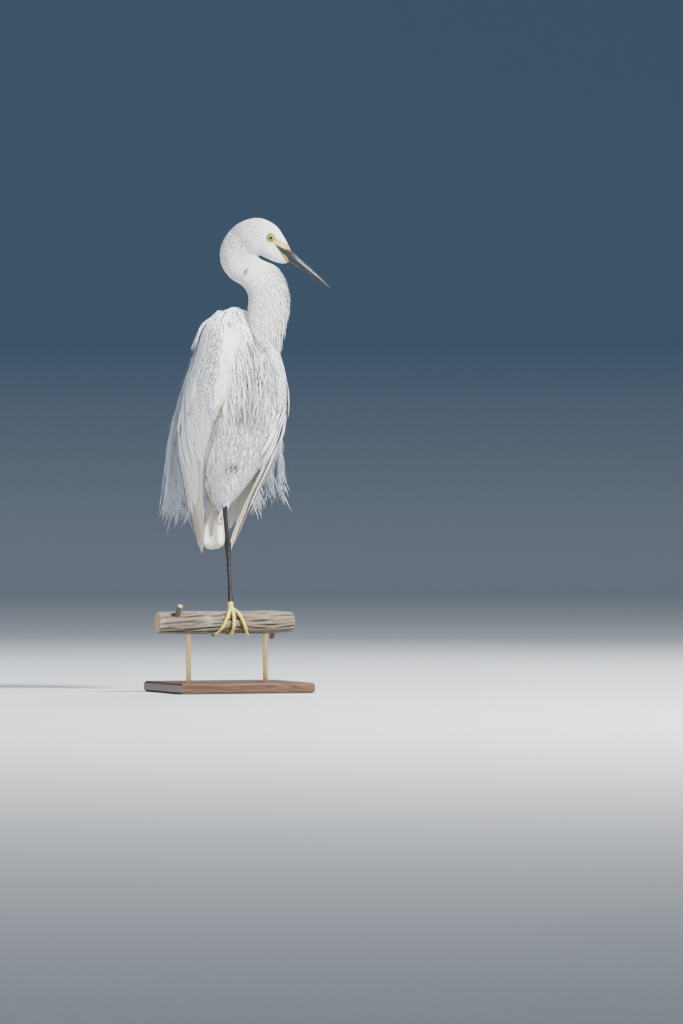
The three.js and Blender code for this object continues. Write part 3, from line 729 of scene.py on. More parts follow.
def head_plane(points):
    c, s = math.cos(NECK_TURN), math.sin(NECK_TURN)
    x, y = points[..., 0], points[..., 1]
    return x * c - y * s, -x * s - y * c, points[..., 2] - SOLE


def capsule_distance(across, height, path):
    best = 99.0
    for (xa, ha, ra), (xb, hb, rb) in zip(path[:-1], path[1:]):
        t = np.clip(
            ((across - xa) * (xb - xa) + (height - ha) * (hb - ha)) / ((xb - xa) ** 2 + (hb - ha) ** 2),
            0, 1,
        )
        away = np.hypot(across - xa - t * (xb - xa), height - ha - t * (hb - ha))
        best = np.minimum(best, away - (ra + t * (rb - ra)))
    return best


def face_distance(points):
    """How far a point is outside the bare skin round the eye and before it, below 0 inside it."""
    across, forward, height = head_plane(points)
    best = np.hypot(across - EYE_AT[0], height - EYE_AT[1]) - BARE_RING
    for path in (LORE, HORN_WEDGE):
        best = np.minimum(best, capsule_distance(across, height, path))
    return np.where((np.abs(forward - 30) > 4.5) | (across > 86), best, 9.0)


def inside_trunk(points, margin):
    middle, wide, front, hind = np.moveaxis(trunk_section(points[..., 2] - SOLE), -1, 0)
    y = points[..., 1] - middle
    deep = np.where(y < 0, front, hind) + margin
    inside = (points[..., 0] / (wide + margin)) ** 2 + (y / deep) ** 2 < 1
    return inside & (points[..., 2] < SOLE + 455)


def foreneck(station, turn):
    """1 along the front of the lower neck, where the tips stand off the outline, and 0 elsewhere."""
    around_front = np.exp(-(((turn % (2 * math.pi)) - math.pi) ** 2) / 0.5)
    return around_front * np.clip((station - 7.0) / 1.5, 0, 1)


coat_depth = through([
    [0, FACE_COAT + 0.3], [3.9, FACE_COAT + 0.4], [4.7, NECK_COAT + 0.2], [14, NECK_COAT + 0.8],
])


def neck_length(s):
    return np.interp(s, [0, 1, 3, 5, 9, 13], [3.2, 4.6, 8, 10, 12, 21])


def neck_width(s):
    return np.interp(s, [0, 2, 5, 9, 13], [1.2, 1.6, 2.0, 2.2, 2.9])


def neck_spacing(s):
    return np.interp(s, [0, 2, 5, 9, 13], [1.25, 1.55, 1.9, 2.1, 2.6])


def neck_coat(name, first, last, seed, rows, thick):
    draw = np.random.default_rng(seed)
    station = np.arange(first, last, 0.045)
    turn = np.arange(0, 2 * math.pi, 0.045)
    s, t = (a.ravel() for a in np.meshgrid(station, turn, indexing="ij"))
    s = s + draw.uniform(-0.02, 0.02, len(s))
    t = t + draw.uniform(-0.02, 0.02, len(t))
    depth = -coat_depth(s)[:, 0]
    points = neck_surface(s, t, depth)
    keep = (face_distance(points) > 0.6) & ~inside_trunk(points, -9.0)
    s, t, depth, points = s[keep], t[keep], depth[keep], points[keep]
    keep = thinned(points, neck_spacing(s), seed)
    s, t, depth = s[keep], t[keep], depth[keep]
    along = np.linspace(0, 1, rows)
    step_length = np.linalg.norm(neck_surface(s + 0.01, t, 0.0) - neck_surface(s, t, 0.0), axis=-1) / 0.01
    reach = neck_length(s) * draw.uniform(0.8, 1.2, len(s))
    drift = draw.uniform(-0.05, 0.05, len(s))
    ss = s[:, None] + (reach / np.maximum(step_length, 9.0))[:, None] * along
    tt = t[:, None] + drift[:, None] * along
    rise = (
        reach * draw.uniform(0.06, 0.095, len(s))
        * (1 + 4.6 * foreneck(s, t) * (draw.random(len(s)) > 0.5))
    )
    out = depth[:, None] + rise[:, None] * along**0.8
    centre, normal = paths(neck_surface, ss, tt, out)
    profile_line = np.interp(along, [0, 0.3, 0.65, 1], [0.6, 1, 0.85, 0.12])
    half = (neck_width(s) / 2)[:, None] * profile_line
    body = thick * np.interp(along, [0, 0.3, 1], [1, 0.9, 0.25]) * np.ones((len(s), 1))
    place = np.stack([s / 15, (t % (2 * math.pi)) / (2 * math.pi)], -1)
    return lay_small(name, centre, normal, half, body, place)


# name, first and last station, seed, rows and thickness
NECK_COATS = [
    ("head_feathers", 0.1, 3.6, 21, 4, 0.12), ("crown_feathers", 3.6, 6.5, 24, 4, 0.13),
    ("nape_feathers", 6.5, 10.0, 22, 4, 0.14), ("throat_feathers", 10.0, 14.0, 23, 5, 0.16),
]
for coat_row in NECK_COATS:
    neck_coat(*coat_row)

# %% [markdown]
# ## Trunk coat
# The breast, the belly and the back carry soft feathers of 15 to 33 mm whose edges melt into each other.
# They hang down with the body. Most of the back and the sides are under the wings, so none are laid
# there.

# %% Trunk feathers
UNDER_WING = 16  # degrees that the trunk's coat goes on under the edge of a wing
# height over the sole, angle of the wing's front edge and of its hind edge
wing_edge_table = through([
    [94, 60, 120], [160, 50, 140], [205, 50, 156], [260, 34, 160], [316, 31, 158], [360, 34, 148],
    [400, 40, 134], [438, 60, 130],
])


def wing_edges(height):
    front, hind = np.moveaxis(wing_edge_table(height), -1, 0)
    return front, hind


def spread_over(heights, angles, draw):
    """Heights and angles in degrees on a grid, each shifted by up to one at random."""
    h, a = (v.ravel() for v in np.meshgrid(heights, angles, indexing="ij"))
    return h + draw.uniform(-1, 1, len(h)), a + draw.uniform(-1, 1, len(a))


def body_width(h):
    return np.interp(h, [150, 200, 300, 350, 450], [5.2, 7.6, 7.8, 5.6, 4.4])


def trunk_coat(name, low, high, seed, heights, lengths):
    draw = np.random.default_rng(seed)
    h, a = spread_over(np.arange(low, high, 2.0), np.arange(-180, 180, 2.0), draw)
    front, hind = wing_edges(h)
    shown = (np.abs(a) < front + UNDER_WING) | (np.abs(a) > hind - UNDER_WING) | (h > 425) | (h < 200)
    h, a = h[shown], a[shown]
    points = trunk_surface(h, np.radians(a), -TRUNK_COAT)
    keep = thinned(points, 3.0, seed)
    h, a = h[keep], np.radians(a[keep])
    along = np.linspace(0, 1, 5)
    reach = np.interp(h, heights, lengths) * draw.uniform(0.75, 1.2, len(h))
    wide = trunk_section(h)[:, 1]
    hh = h[:, None] - reach[:, None] * along
    aa = a[:, None] + (draw.uniform(-0.12, 0.12, len(h)) * reach / np.maximum(wide, 12))[:, None] * along
    hh = np.maximum(hh, 150.5)
    rise = (
        reach * draw.uniform(0.055, 0.085, len(h))
        * np.interp(h, [170, 200, 300, 345], [0.8, 0.5, 0.5, 1.3])
    )
    out = -TRUNK_COAT + 0.9 + rise[:, None] * along**0.6
    centre, normal = paths(trunk_surface, hh, aa, out)
    centre[..., 2] += np.maximum(h[:, None] - reach[:, None] * along - hh, -40)
    half = (body_width(h) / 2)[:, None] * np.interp(along, [0, 0.25, 0.6, 0.85, 1], [0.5, 0.9, 1, 0.6, 0.08])
    body = np.interp(h, [305, 345], [0.04, 0.18])[:, None] * np.interp(along, [0, 0.3, 1], [1, 0.9, 0.5])
    place = np.stack([(h - 140) / 330, (a % (2 * math.pi)) / (2 * math.pi)], -1)
    roll = (draw.uniform(-0.05, 0.05, len(h)) * np.interp(h, [305, 345], [0.2, 1]))[:, None]
    # painted shade: round the middle of the breast, under the plumes, the feathers take the downy finish's
    # dark olive second colour
    shade = (
        np.clip(1.25 - np.abs(h - 345) / 44, 0, 1) * np.clip(1.2 - np.abs(np.degrees(a) - 2) / 34, 0, 1)
    )
    return lay_small(
        name, centre, normal, half, body, place, tint_and_shade=np.sqrt(shade), roll=roll, material=downy,
    )


# name, lowest and highest root, seed, and the feathers' lengths at two heights
TRUNK_COATS = [
    ("belly_feathers", 152, 292, 31, (150, 300), (22, 28)),
    ("breast_feathers", 292, 452, 32, (300, 450), (28, 20)),
]
for coat_row in TRUNK_COATS:
    trunk_coat(*coat_row)

# %% [markdown]
# The belly is so soft that only the tips of its feathers show. A bed of down lies just under the tips and
# closes the gaps between them. Its rim sinks below the coat, so that it has no visible edge.

# %% Bed of down on the belly
BELLY_HEIGHTS, BELLY_ANGLES = (168, 338), (-52, 50)  # what the bed covers


def belly_down():
    (low, high), (first, last) = BELLY_HEIGHTS, BELLY_ANGLES
    height = np.linspace(low, high, 70)[:, None]
    angle = np.linspace(first, last, 50)
    rim = np.minimum(
        np.minimum((height - low) / 26, (high - height) / 34),
        np.minimum((angle - first) / 12, (last - angle) / 12),
    )
    sink = 2.6 * (1 - np.clip(rim, 0, 1)) ** 2
    top = trunk_surface(height, np.radians(angle), -TRUNK_COAT + 1.42 - sink)
    under = trunk_surface(height, np.radians(angle), -TRUNK_COAT - 2.4)
    marks = np.broadcast_to(np.array([0.7, 0.5, 0.5, 0.0]), (70, 50, 4))
    piece = plate_between("belly_down", top, under, np.ones((69, 49), bool), marks, downy)
    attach(piece, "root")


belly_down()

# %% [markdown]
# ## Thigh
# The standing leg comes out of a cone of soft feathers that ends in loose points above the bare shank.

# %% Thigh feathers
def thigh_surface(station, turn, out=0.0):
    table = through([[i, *row] for i, row in enumerate(THIGH_STATIONS)])
    x, y, h, r = np.moveaxis(table(station), -1, 0)
    return np.stack(
        np.broadcast_arrays(x + (r + out) * np.sin(turn), y - (r + out) * np.cos(turn), SOLE + h), -1,
    )


def thigh_coat():
    draw = np.random.default_rng(41)
    grid = np.meshgrid(np.arange(0, 2.75, 0.06), np.arange(0, 2 * math.pi, 0.08), indexing="ij")
    s, t = (v.ravel() for v in grid)
    s = s + draw.uniform(-0.03, 0.03, len(s))
    points = thigh_surface(s, t, -2.0)
    keep = thinned(points, 3.4, 41)
    s, t = s[keep], t[keep]
    along = np.linspace(0, 1, 5)
    reach = draw.uniform(17, 29, len(s))
    ss = s[:, None] + (reach / 27)[:, None] * along
    extra = np.maximum(ss - 3.0, 0) * 27
    out = -2.4 + (reach * 0.15)[:, None] * along
    centre, normal = paths(thigh_surface, np.minimum(ss, 3.0), np.broadcast_to(t[:, None], ss.shape), out)
    centre[..., 2] -= extra
    half = (
        (draw.uniform(1.5, 2.3, len(s)))[:, None]
        * np.interp(along, [0, 0.3, 0.6, 1], [0.6, 1, 0.8, 0.07])
    )
    body = 0.6 * np.interp(along, [0, 0.3, 1], [1, 0.9, 0.2]) * np.ones((len(s), 1))
    place = np.stack([s / 3, t / (2 * math.pi)], -1)
    return lay_small("thigh_feathers", centre, normal, half, body, place, material=downy)


thigh_coat()

# %% [markdown]
# ## Folded wings
# A folded wing is read by its tiers. Small coverts cover the wrist and the shoulder, longer ones follow,
# then the secondaries, and the primaries lie below and in front with their edges showing as narrow cream
# bands. Each tier is given by its front and its hind feather. The feathers between them are spaced
# evenly.

# %% Wing tiers
WING_SIDES = {1: "left", -1: "right"}


def wing_surface(height, angle, out=0.0):
    return around(wing_section, angle, height, out)


def wing_place(height, angle, side):
    """Where a feather rooted there lies on the bake map."""
    return np.stack([(height - 80) / 380, 0.5 + 0.5 * angle * side / math.pi], -1)


# name, feathers in a row, front root and tip, hind root and tip (angle, height), width, lift, step, rise
WING_TIERS = [
    ("primaries", 9, ((52, 246), (58, 92)), ((92, 232), (106, 112)), 14, -5.5, 0.5, 3.4),
    ("secondaries", 13, ((62, 268), (60, 160)), ((156, 262), (148, 122)), 21, -1.4, 0.18, 1.6),
    ("tertials", 7, ((116, 322), (98, 190)), ((160, 322), (150, 162)), 21, 0.2, 0.16, 1.4),
    ("greater_coverts", 16, ((60, 306), (31, 226)), ((146, 312), (126, 212)), 17, 0.3, 0.1, 1.4),
    ("median_coverts", 18, ((54, 340), (27, 280)), ((150, 344), (128, 268)), 16, 0.7, 0.08, 1.4),
    ("lesser_coverts_low", 18, ((66, 366), (44, 316)), ((150, 372), (130, 312)), 14, 1.0, 0.07, 1.6),
    ("lesser_coverts_mid", 16, ((76, 388), (60, 346)), ((148, 394), (130, 344)), 13, 1.1, 0.07, 1.6),
    ("lesser_coverts_high", 13, ((84, 408), (72, 372)), ((142, 414), (128, 372)), 12, 1.1, 0.07, 1.6),
    ("shoulder_coverts", 11, ((92, 428), (82, 394)), ((140, 434), (126, 396)), 11, 1.0, 0.07, 1.6),
    ("scapulars", 11, ((126, 436), (104, 330)), ((166, 436), (140, 268)), 15, 2.2, 0.12, 1.6),
]
LONG_TIERS = ("primaries", "secondaries", "tertials", "scapulars")
# how strongly the edges take the second colour: a brownish tint on the flights, painted shade on the
# tertials and, by default, the coverts
EDGE_TINT_AND_SHADE = {"primaries": 0.95, "secondaries": 0.55, "tertials": 0.15}


def wing_tier(label, side, count, front, hind, width, lift, step, rise, seed):
    draw = np.random.default_rng(seed)
    s = np.linspace(0, 1, count)
    mix = lambda a, b: np.radians(a) + np.radians(b - a) * s
    jig = draw.uniform(-1, 1, (4, count))
    gap = math.radians(hind[0][0] - front[0][0]) / count
    root_a = mix(front[0][0], hind[0][0]) + 0.3 * gap * jig[0]
    tip_a = mix(front[1][0], hind[1][0]) + 0.45 * gap * jig[1]
    root_h = front[0][1] + (hind[0][1] - front[0][1]) * s + 2 * jig[2]
    tip_h = front[1][1] + (hind[1][1] - front[1][1]) * s + 0.1 * (front[0][1] - front[1][1]) * jig[3]
    t = np.linspace(0, 1, 14)
    bow = 0.05 * np.sin(math.pi * t)
    angle = (root_a[:, None] + (tip_a - root_a)[:, None] * t + bow) * side
    height = root_h[:, None] + (tip_h - root_h)[:, None] * t
    base = (
        lift + step * np.arange(count) + 0.3 * jig[1]
        - 6.5 * np.exp(-np.arange(count) / 2.6) * (label not in LONG_TIERS)
    )
    out = base[:, None] + rise * t**2 - 4.5 * np.clip(1 - t / 0.22, 0, 1) ** 1.5
    centre, normal = paths(wing_surface, height, angle, out)
    line = np.interp(t, [0, 0.15, 0.4, 0.62, 0.8, 0.92, 1], [0.35, 0.75, 1, 0.96, 0.76, 0.45, 0.06])
    half = (width / 2 * (1 + 0.05 * jig[3]))[:, None] * line
    thick = 0.5 * np.interp(t, [0, 0.5, 1], [1.2, 0.8, 0.4]) * np.ones((count, 1))
    edge = np.abs(np.linspace(-1, 1, 9))
    flying = label in LONG_TIERS[:2]
    # edge mark: the flight finish's brownish tint on primaries and secondaries, painted shade along the
    # edges of coverts and tertials
    tint_and_shade = (
        EDGE_TINT_AND_SHADE.get(label, 0.22) * np.where(edge > 0.7, 1, 0.45 * flying)[None, None, :]
        * np.clip(t * 1.6, 0.2, 1)[None, :, None] * draw.uniform(0.5, 1, (count, 1, 1))
    )
    place = wing_place(root_h, root_a, side)
    return lay_vanes(
        f"{label}_{WING_SIDES[side]}", centre, normal, half, thick, place, 1 / 150, tint_and_shade,
        (0.06 if label in LONG_TIERS else 0.15) * side, 9, flight if flying else covert, fray=0.06,
    )


def wing_lining(side):
    """The closed bed of down under a wing's feathers, so that no gap between them looks hollow."""
    height = np.linspace(212, 434, 60)
    front, hind = wing_edges(height)
    share = np.linspace(0, 1, 44)
    angle = np.radians(front[:, None] + 5 + (hind - front - 10)[:, None] * share) * side
    bank = 1 - np.clip(share / 0.16, 0, 1) ** 0.5
    top = wing_surface(height[:, None], angle, -3.2 - 6.5 * bank)
    under = trunk_surface(height[:, None], angle, -TRUNK_COAT - 1.0)
    keep = np.ones((59, 43), bool)
    marks = np.broadcast_to(np.array([0.6, 0.5, 0.5, 0.0]), (60, 44, 4))
    if side < 0:
        top, under = top[:, ::-1], under[:, ::-1]
    piece = plate_between(f"wing_lining_{WING_SIDES[side]}", top, under, keep, marks, downy)
    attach(piece, "root")
    return piece


def side_coat(side):
    """Soft feathers of the breast's side, which drape over the shoulder of the folded wing."""
    draw = np.random.default_rng(37 + side)
    h, a = spread_over(np.arange(322, 450, 1.6), np.arange(14, 100, 1.6), draw)
    hind = np.interp(h, [322, 340, 380, 450], [44, 66, 74, 92] if side < 0 else [36, 50, 60, 92])
    front = np.interp(h, [322, 380, 450], [26, 16, 14])
    keep = (a < hind + draw.uniform(-5, 5, len(a))) & (a > front)
    h, a = h[keep], np.radians(a[keep])
    h, a = (v[thinned(around(wing_section, a, h), 2.9, 38)] for v in (h, a))
    t = np.linspace(0, 1, 6)
    reach = draw.uniform(20, 32, len(h))
    height = h[:, None] - reach[:, None] * t
    angle = (
        (a[:, None] + (np.radians(7) * reach / 28 * draw.uniform(0.4, 1.3, len(h)))[:, None] * t) * side
    )
    bank = np.clip((np.degrees(a) - 14) / 22, 0, 1)
    base = np.interp(bank, [0, 1], [-7.0, 0.6])
    out = base[:, None] - 2.0 * (1 - t) ** 2 + (0.018 * reach)[:, None] * t**0.7
    centre, normal = paths(wing_surface, height, angle, out)
    half = draw.uniform(2.4, 3.6, (len(h), 1)) * np.interp(
        t, [0, 0.25, 0.6, 0.85, 1], [0.5, 0.9, 1, 0.55, 0.07],
    )
    place = wing_place(h, a, side)
    return lay_small(
        f"side_feathers_{WING_SIDES[side]}", centre, normal, half, 0.05 + 0 * half, place,
        roll=draw.uniform(-0.02, 0.02, (len(h), 1)), material=downy,
    )


# name, root and tip (angle, height), width and lift of a few coverts that stand clear of their row
STRAY_COVERTS = [
    ((76, 352), (67, 290), 20, 5.2), ((92, 316), (84, 262), 17, 4.2), ((104, 372), (92, 322), 16, 4.0),
    ((68, 300), (54, 246), 15, 3.6),
]


def stray_coverts(side):
    t = np.linspace(0, 1, 16)
    made = []
    for root, tip, width, lift in STRAY_COVERTS:
        angle = np.radians(root[0] + (tip[0] - root[0]) * t + 3 * np.sin(math.pi * t)) * side
        height = root[1] + (tip[1] - root[1]) * t
        half = width / 2 * np.interp(t, [0, 0.2, 0.55, 0.8, 0.93, 1], [0.5, 0.85, 1, 0.72, 0.36, 0.04])
        made.append((*paths(wing_surface, height, angle, lift * t**0.7), half))
    centre, normal, half = (np.stack(v) for v in zip(*made))
    roots = np.array([root for root, *_ in STRAY_COVERTS], float)
    place = wing_place(roots[:, 1], np.radians(roots[:, 0]), side)
    edge = np.abs(np.linspace(-1, 1, 11))
    # painted shadow: the sides and the end of each stray covert's tip take the covert finish's grey-brown,
    # as the shadow under its raised edge
    rim = (edge[None, :] > 0.75) * np.clip((t[:, None] - 0.55) / 0.15, 0, 1) + 1.0 * (t[:, None] > 0.93)
    rim = np.broadcast_to(np.clip(rim, 0, 1), (len(STRAY_COVERTS), 16, 11))
    return lay_vanes(
        f"stray_coverts_{WING_SIDES[side]}", centre, normal, half, 0.4 + 0 * half, place, 1 / 60, rim,
        0.12 * side, 11, covert, fray=0.05,
    )


wing_pieces = {("lining", side): wing_lining(side) for side in WING_SIDES}
for side in WING_SIDES:
    for number, (label, *tier) in enumerate(WING_TIERS):
        wing_pieces[label, side] = wing_tier(label, side, *tier, 60 + number + 20 * (side > 0))
    wing_pieces["stray", side] = stray_coverts(side)
for side in WING_SIDES:
    side_coat(side)

# %% [markdown]
# The bird's right wing, on the image's left, ends in front in a thin line of shade that parts it from the
# belly. That line is painted shade: five narrow strips of a dark brownish finish that stand just over the
# feathers. Each row of the line is a height and a distance from the stand's middle as the camera sees it.
# The angle round the wing that the camera sees there is looked up.

# %% Front edge of the wing
SEEN_ACROSS = (0.94, -0.342)  # how far x and y move a point to the image's right
EDGE_LINE = [[322, -4], [301, -10], [280, -17], [256, -24], [236, -30], [219, -33], [190, -36], [160, -38]]


def wing_edge_line():
    draw = np.random.default_rng(58)
    t = np.linspace(0, 1, 40)
    height = 322 - 162 * t
    line = through(EDGE_LINE[::-1])(height).reshape(-1)
    turns = np.radians(np.linspace(-75, 5, 81))
    spots = wing_surface(height[:, None], np.broadcast_to(turns, (40, 81)))
    seen = SEEN_ACROSS[0] * spots[..., 0] + SEEN_ACROSS[1] * spots[..., 1]
    angle = np.array([np.interp(want, row, turns) for want, row in zip(line, seen)])
    made = []
    for number in range(5):
        shift = math.radians(1.1) * (number - 2) + math.radians(0.6) * np.sin(9 * t + number)
        out = 1.6 + 0.8 * draw.random() + 0.9 * np.sin(math.pi * t)
        made.append(paths(wing_surface, height, angle + shift, out))
    centre, normal = (np.stack(v) for v in zip(*made))
    half = draw.uniform(0.35, 0.8, (5, 1)) * np.interp(t, [0, 0.15, 0.5, 0.8, 1], [0.1, 0.8, 1, 0.7, 0.1])
    place = np.stack([np.linspace(0.4, 0.6, 5), np.full(5, 0.4)], -1)
    return lay_small(
        "wing_edge_line", centre, normal, half, 0.5 * half, place, tint_and_shade=draw.uniform(0.5, 1, 5),
        material=shadow_line_finish,
    )


# painted shade: the dark brownish finish of the shadow line at the wing's front edge
shadow_line_finish = feather_material(
    "painted_edge_shadow", (0.50, 0.44, 0.34), (0.22, 0.20, 0.17), (0.16, 0.13, 0.09), 40, 0.3,
)
edge_line = wing_edge_line()

# %% [markdown]
# ## Tail
# The short tail has twelve soft square-ended feathers. Folded, they lie in a narrow stack between the
# tips of the wings, the middle pair on top.

# %% Tail feathers
def tail_fan():
    count, rows = 12, 14
    draw = np.random.default_rng(51)
    s = np.linspace(-1, 1, count)
    t = np.linspace(0, 1, rows)
    root = np.stack([-1 + 6 * s, 37 + 2 * np.abs(s), SOLE + 198 + 0 * s], -1)
    tip = np.stack(
        [
            -4.5 + 12 * s, 58 + 4.5 * (1 - np.abs(s)) + 0.15 * np.arange(count),
            SOLE + 92.5 + 4 * s**2 + draw.uniform(-1, 1, count),
        ],
        -1,
    )
    centre = root[:, None] + (tip - root)[:, None] * t[:, None]
    centre[..., 1] += 5 * np.sin(math.pi * t)[None]
    normal = np.broadcast_to(unit(np.array([0.0, 1.0, 0.25])), centre.shape)
    half = 6.6 * np.interp(t, [0, 0.3, 0.8, 0.95, 1], [0.45, 0.85, 1, 0.9, 0.55]) * np.ones((count, 1))
    thick = 0.5 * np.interp(t, [0, 1], [1.2, 0.5]) * np.ones((count, 1))
    edge = np.abs(np.linspace(-1, 1, 9))
    tint_and_shade = 0.55 * (edge[None, None] > 0.7) * np.ones((count, rows, 1))
    place = np.stack([0.5 + 0.3 * s, 0.5 + 0 * s], -1)
    return lay_vanes(
        "tail_feathers", centre, normal, half, thick, place, 1 / 120, tint_and_shade, 0.1, 9, flight,
    )


tail_feathers = tail_fan()

# %% [markdown]
# ## Breast plumes
# Narrow pointed plumes spring from the foot of the neck and hang free over the breast. They part a little
# towards their tips, and the shade between them is what gives the breast its combed look. That shade is
# painted: some plumes in the middle, and the breast feathers under them, take a dark olive colour.

# %% Plumes of the breast
def breast_plumes():
    draw = np.random.default_rng(71)
    count, rows = 330, 12
    share = draw.uniform(0, 1, count)
    start = draw.uniform(0, 1, count)
    top = 416 - 74 * start - 12 * (2 * share - 1) ** 2
    root_angle = np.radians(-40 + 84 * share)
    reach = draw.uniform(42, 84, count) * (0.8 + 0.3 * start)
    tip_angle = root_angle * 0.78 + np.radians(draw.uniform(-6, 6, count))
    t = np.linspace(0, 1, rows)
    height = top[:, None] - reach[:, None] * t
    angle = (
        root_angle[:, None] + (tip_angle - root_angle)[:, None] * t
        + 0.03 * np.sin(2 * math.pi * (t + share[:, None]))
    )
    lift = draw.uniform(0.8, 4.2, count)
    out = -4.5 + (lift + 3.5)[:, None] * np.sin(0.5 * math.pi * np.clip(t * 1.5, 0, 1)) ** 0.8
    centre, normal = paths(trunk_surface, height, angle, out)
    half = (
        (draw.uniform(0.8, 2.1, count) * (1 - 0.35 * np.exp(-(((share - 0.55) / 0.2) ** 2))))[:, None]
        * np.interp(t, [0, 0.2, 0.55, 0.8, 1], [0.7, 1, 0.8, 0.4, 0.05])
    )
    body = 0.45 * np.interp(t, [0, 0.5, 1], [1, 0.7, 0.2]) * np.ones((count, 1))
    place = np.stack([start * 0.9 + 0.05, share * 0.9 + 0.05], -1)
    # painted shade between the plumes: nearly half of the plumes whose tips end mid-breast take the dark
    # olive second colour
    tip = top - reach
    amid = (
        np.exp(-(((share - 0.55) / 0.26) ** 4)) * np.clip((372 - tip) / 16, 0, 1)
        * np.clip((tip - 292) / 14, 0, 1)
    )
    gap_shade = draw.uniform(0.5, 1, count) * (draw.random(count) < 0.45) * amid
    return lay_small(
        "breast_plumes", centre, normal, half, body, place, tint_and_shade=gap_shade,
        roll=draw.uniform(-0.5, 0.5, count)[:, None], material=plumed,
    )


breast_plumes()

# %% [markdown]
# ## Back plumes
# In the breeding season long plumes grow from the mantle and hang over the wings to the tail. Their barbs
# do not hook together, so each one is a shaft with loose threads, which catch the light at the bird's
# outline.

# %% Plumes of the back
# place from the bird's left (-1) to its right (1), height of the tip, how far the tip stands off
plume_end = through([
    [-1, 166, 62], [-0.8, 150, 44], [-0.6, 142, 30], [-0.4, 128, 22], [0.2, 124, 20], [0.5, 138, 24],
    [0.7, 134, 30], [0.85, 130, 36], [1, 186, 22],
])


def plume_paths(share, rows, draw, shift):
    low, flare = np.moveaxis(plume_end(share), -1, 0)
    t = np.linspace(0, 1, rows)
    high = 440 - 16 * np.abs(share)
    low = low + 30 * draw.uniform(0, 1, len(share)) * (np.abs(share) < 0.95)
    start = 180 + 26 * share
    end = 180 + 74 * share + draw.uniform(-5, 5, len(share))
    angle = np.radians(start[:, None] + (end - start)[:, None] * np.sqrt(t))
    height = high[:, None] + (low - high)[:, None] * t
    out = 6.5 + shift[:, None] + (flare * draw.uniform(0.75, 1.05, len(share)))[:, None] * t**3
    out = out - 14 * np.clip(1 - t / 0.1, 0, 1)
    return paths(wing_surface, height, angle, out)


def mantle_paths(rows, draw):
    """Shorter plumes that curl over the shoulders from the mantle: two fans, one on each side."""
    count = 26
    side = np.where(np.arange(count) % 2 == 0, 1.0, -1.0)
    s = draw.uniform(0, 1, count)
    t = np.linspace(0, 1, rows)
    start, end = np.radians(150 - 34 * s), np.radians(128 - 46 * s)
    angle = side[:, None] * (start[:, None] + (end - start)[:, None] * t)
    high, low = 452 - 10 * s, 412 - 24 * draw.uniform(0, 1, count)
    height = high[:, None] + (low - high)[:, None] * t**1.15
    out = -3 + (5 + 5 * draw.uniform(0, 1, count))[:, None] * np.sin(0.62 * math.pi * t) + 3.0 * t**3
    return paths(wing_surface, height, angle, out)


def plume_barbs(name, centre, normal, each, length, draw):
    """Loose barbs along both sides of each shaft, wider apart towards its tip."""
    count, rows = centre.shape[:2]
    at = draw.uniform(0.10, 0.995, (count, each))
    way = np.where(draw.random((count, each)) < 0.5, -1.0, 1.0)
    index = at * (rows - 1)
    low = np.clip(index.astype(int), 0, rows - 2)
    part = (index - low)[..., None]
    pick = np.arange(count)[:, None]
    root = centre[pick, low] * (1 - part) + centre[pick, low + 1] * part
    ahead = unit(centre[pick, low + 1] - centre[pick, low])
    up = normal[pick, low]
    side = unit(np.cross(ahead, up)) * way[..., None]
    reach = draw.uniform(*length, (count, each)) * (1 - 0.35 * at)
    u = np.linspace(0, 1, 6)
    open_out = draw.uniform(0.10, 0.30, (count, each)) + 0.6 * np.clip((at - 0.55) / 0.45, 0, 1)
    droop = draw.uniform(-0.2, 0.3, (count, each))
    drift = side[:, :, None] * (open_out[..., None] * (u - 0.35 * u**2))[..., None]
    sag = up[:, :, None] * (droop[..., None] * u**2)[..., None] * 0.4
    line = root[:, :, None] + reach[..., None, None] * (ahead[:, :, None] * u[:, None] + drift + sag)
    line = line.reshape(-1, 6, 3)
    flat = np.broadcast_to(up[:, :, None], (count, each, 6, 3)).reshape(-1, 6, 3)
    half = (
        draw.uniform(0.24, 0.52, (len(line), 1)) * np.interp(u, [0, 0.4, 1], [1, 0.85, 0.25])
        * np.ones((len(line), 1))
    )
    spot = np.stack([0.1 + 0.8 * at.ravel(), np.repeat(np.linspace(0.1, 0.9, count), each)], -1)
    return lay_small(name, line, flat, half, half * 0.6, spot, material=hanging)


def plume_shafts(name, centre, normal, width):
    t = np.linspace(0, 1, centre.shape[1])
    half = (
        width * np.interp(t, [0, 0.1, 0.5, 0.8, 1], [0.7, 1, 0.8, 0.5, 0.06]) * np.ones((len(centre), 1))
    )
    body = 0.8 * np.interp(t, [0, 0.5, 1], [1, 0.7, 0.2]) * np.ones((len(centre), 1))
    place = np.stack([0 * half[:, 0] + 0.5, np.linspace(0.05, 0.95, len(centre))], -1)
    return lay_small(name, centre, normal, half, body, place, material=hanging)


def back_plumes():
    draw = np.random.default_rng(81)
    even = np.linspace(-1, 1, 40)
    sides = np.concatenate([draw.uniform(0.5, 1, 22), draw.uniform(-1, -0.7, 4)])
    share = np.clip(np.concatenate([even, sides]) + draw.uniform(-0.02, 0.02, 66), -1, 1)
    centre, normal = plume_paths(share, 24, draw, draw.uniform(-1.5, 2.5, len(share)))
    mantle, mantle_up = mantle_paths(18, draw)
    plume_shafts("back_plume_shafts", centre, normal, 0.85)
    plume_barbs("back_plume_barbs", centre, normal, 78, (12, 36), draw)
    plume_shafts("mantle_plume_shafts", mantle, mantle_up, 0.8)
    plume_barbs("mantle_plume_barbs", mantle, mantle_up, 46, (7, 16), draw)


back_plumes()

# %% [markdown]
# On the side of the neck, where it bends, the coat has parted a little. The shadow in the parting is
# painted: five thin strips of a near-black finish make a short slanting mark.

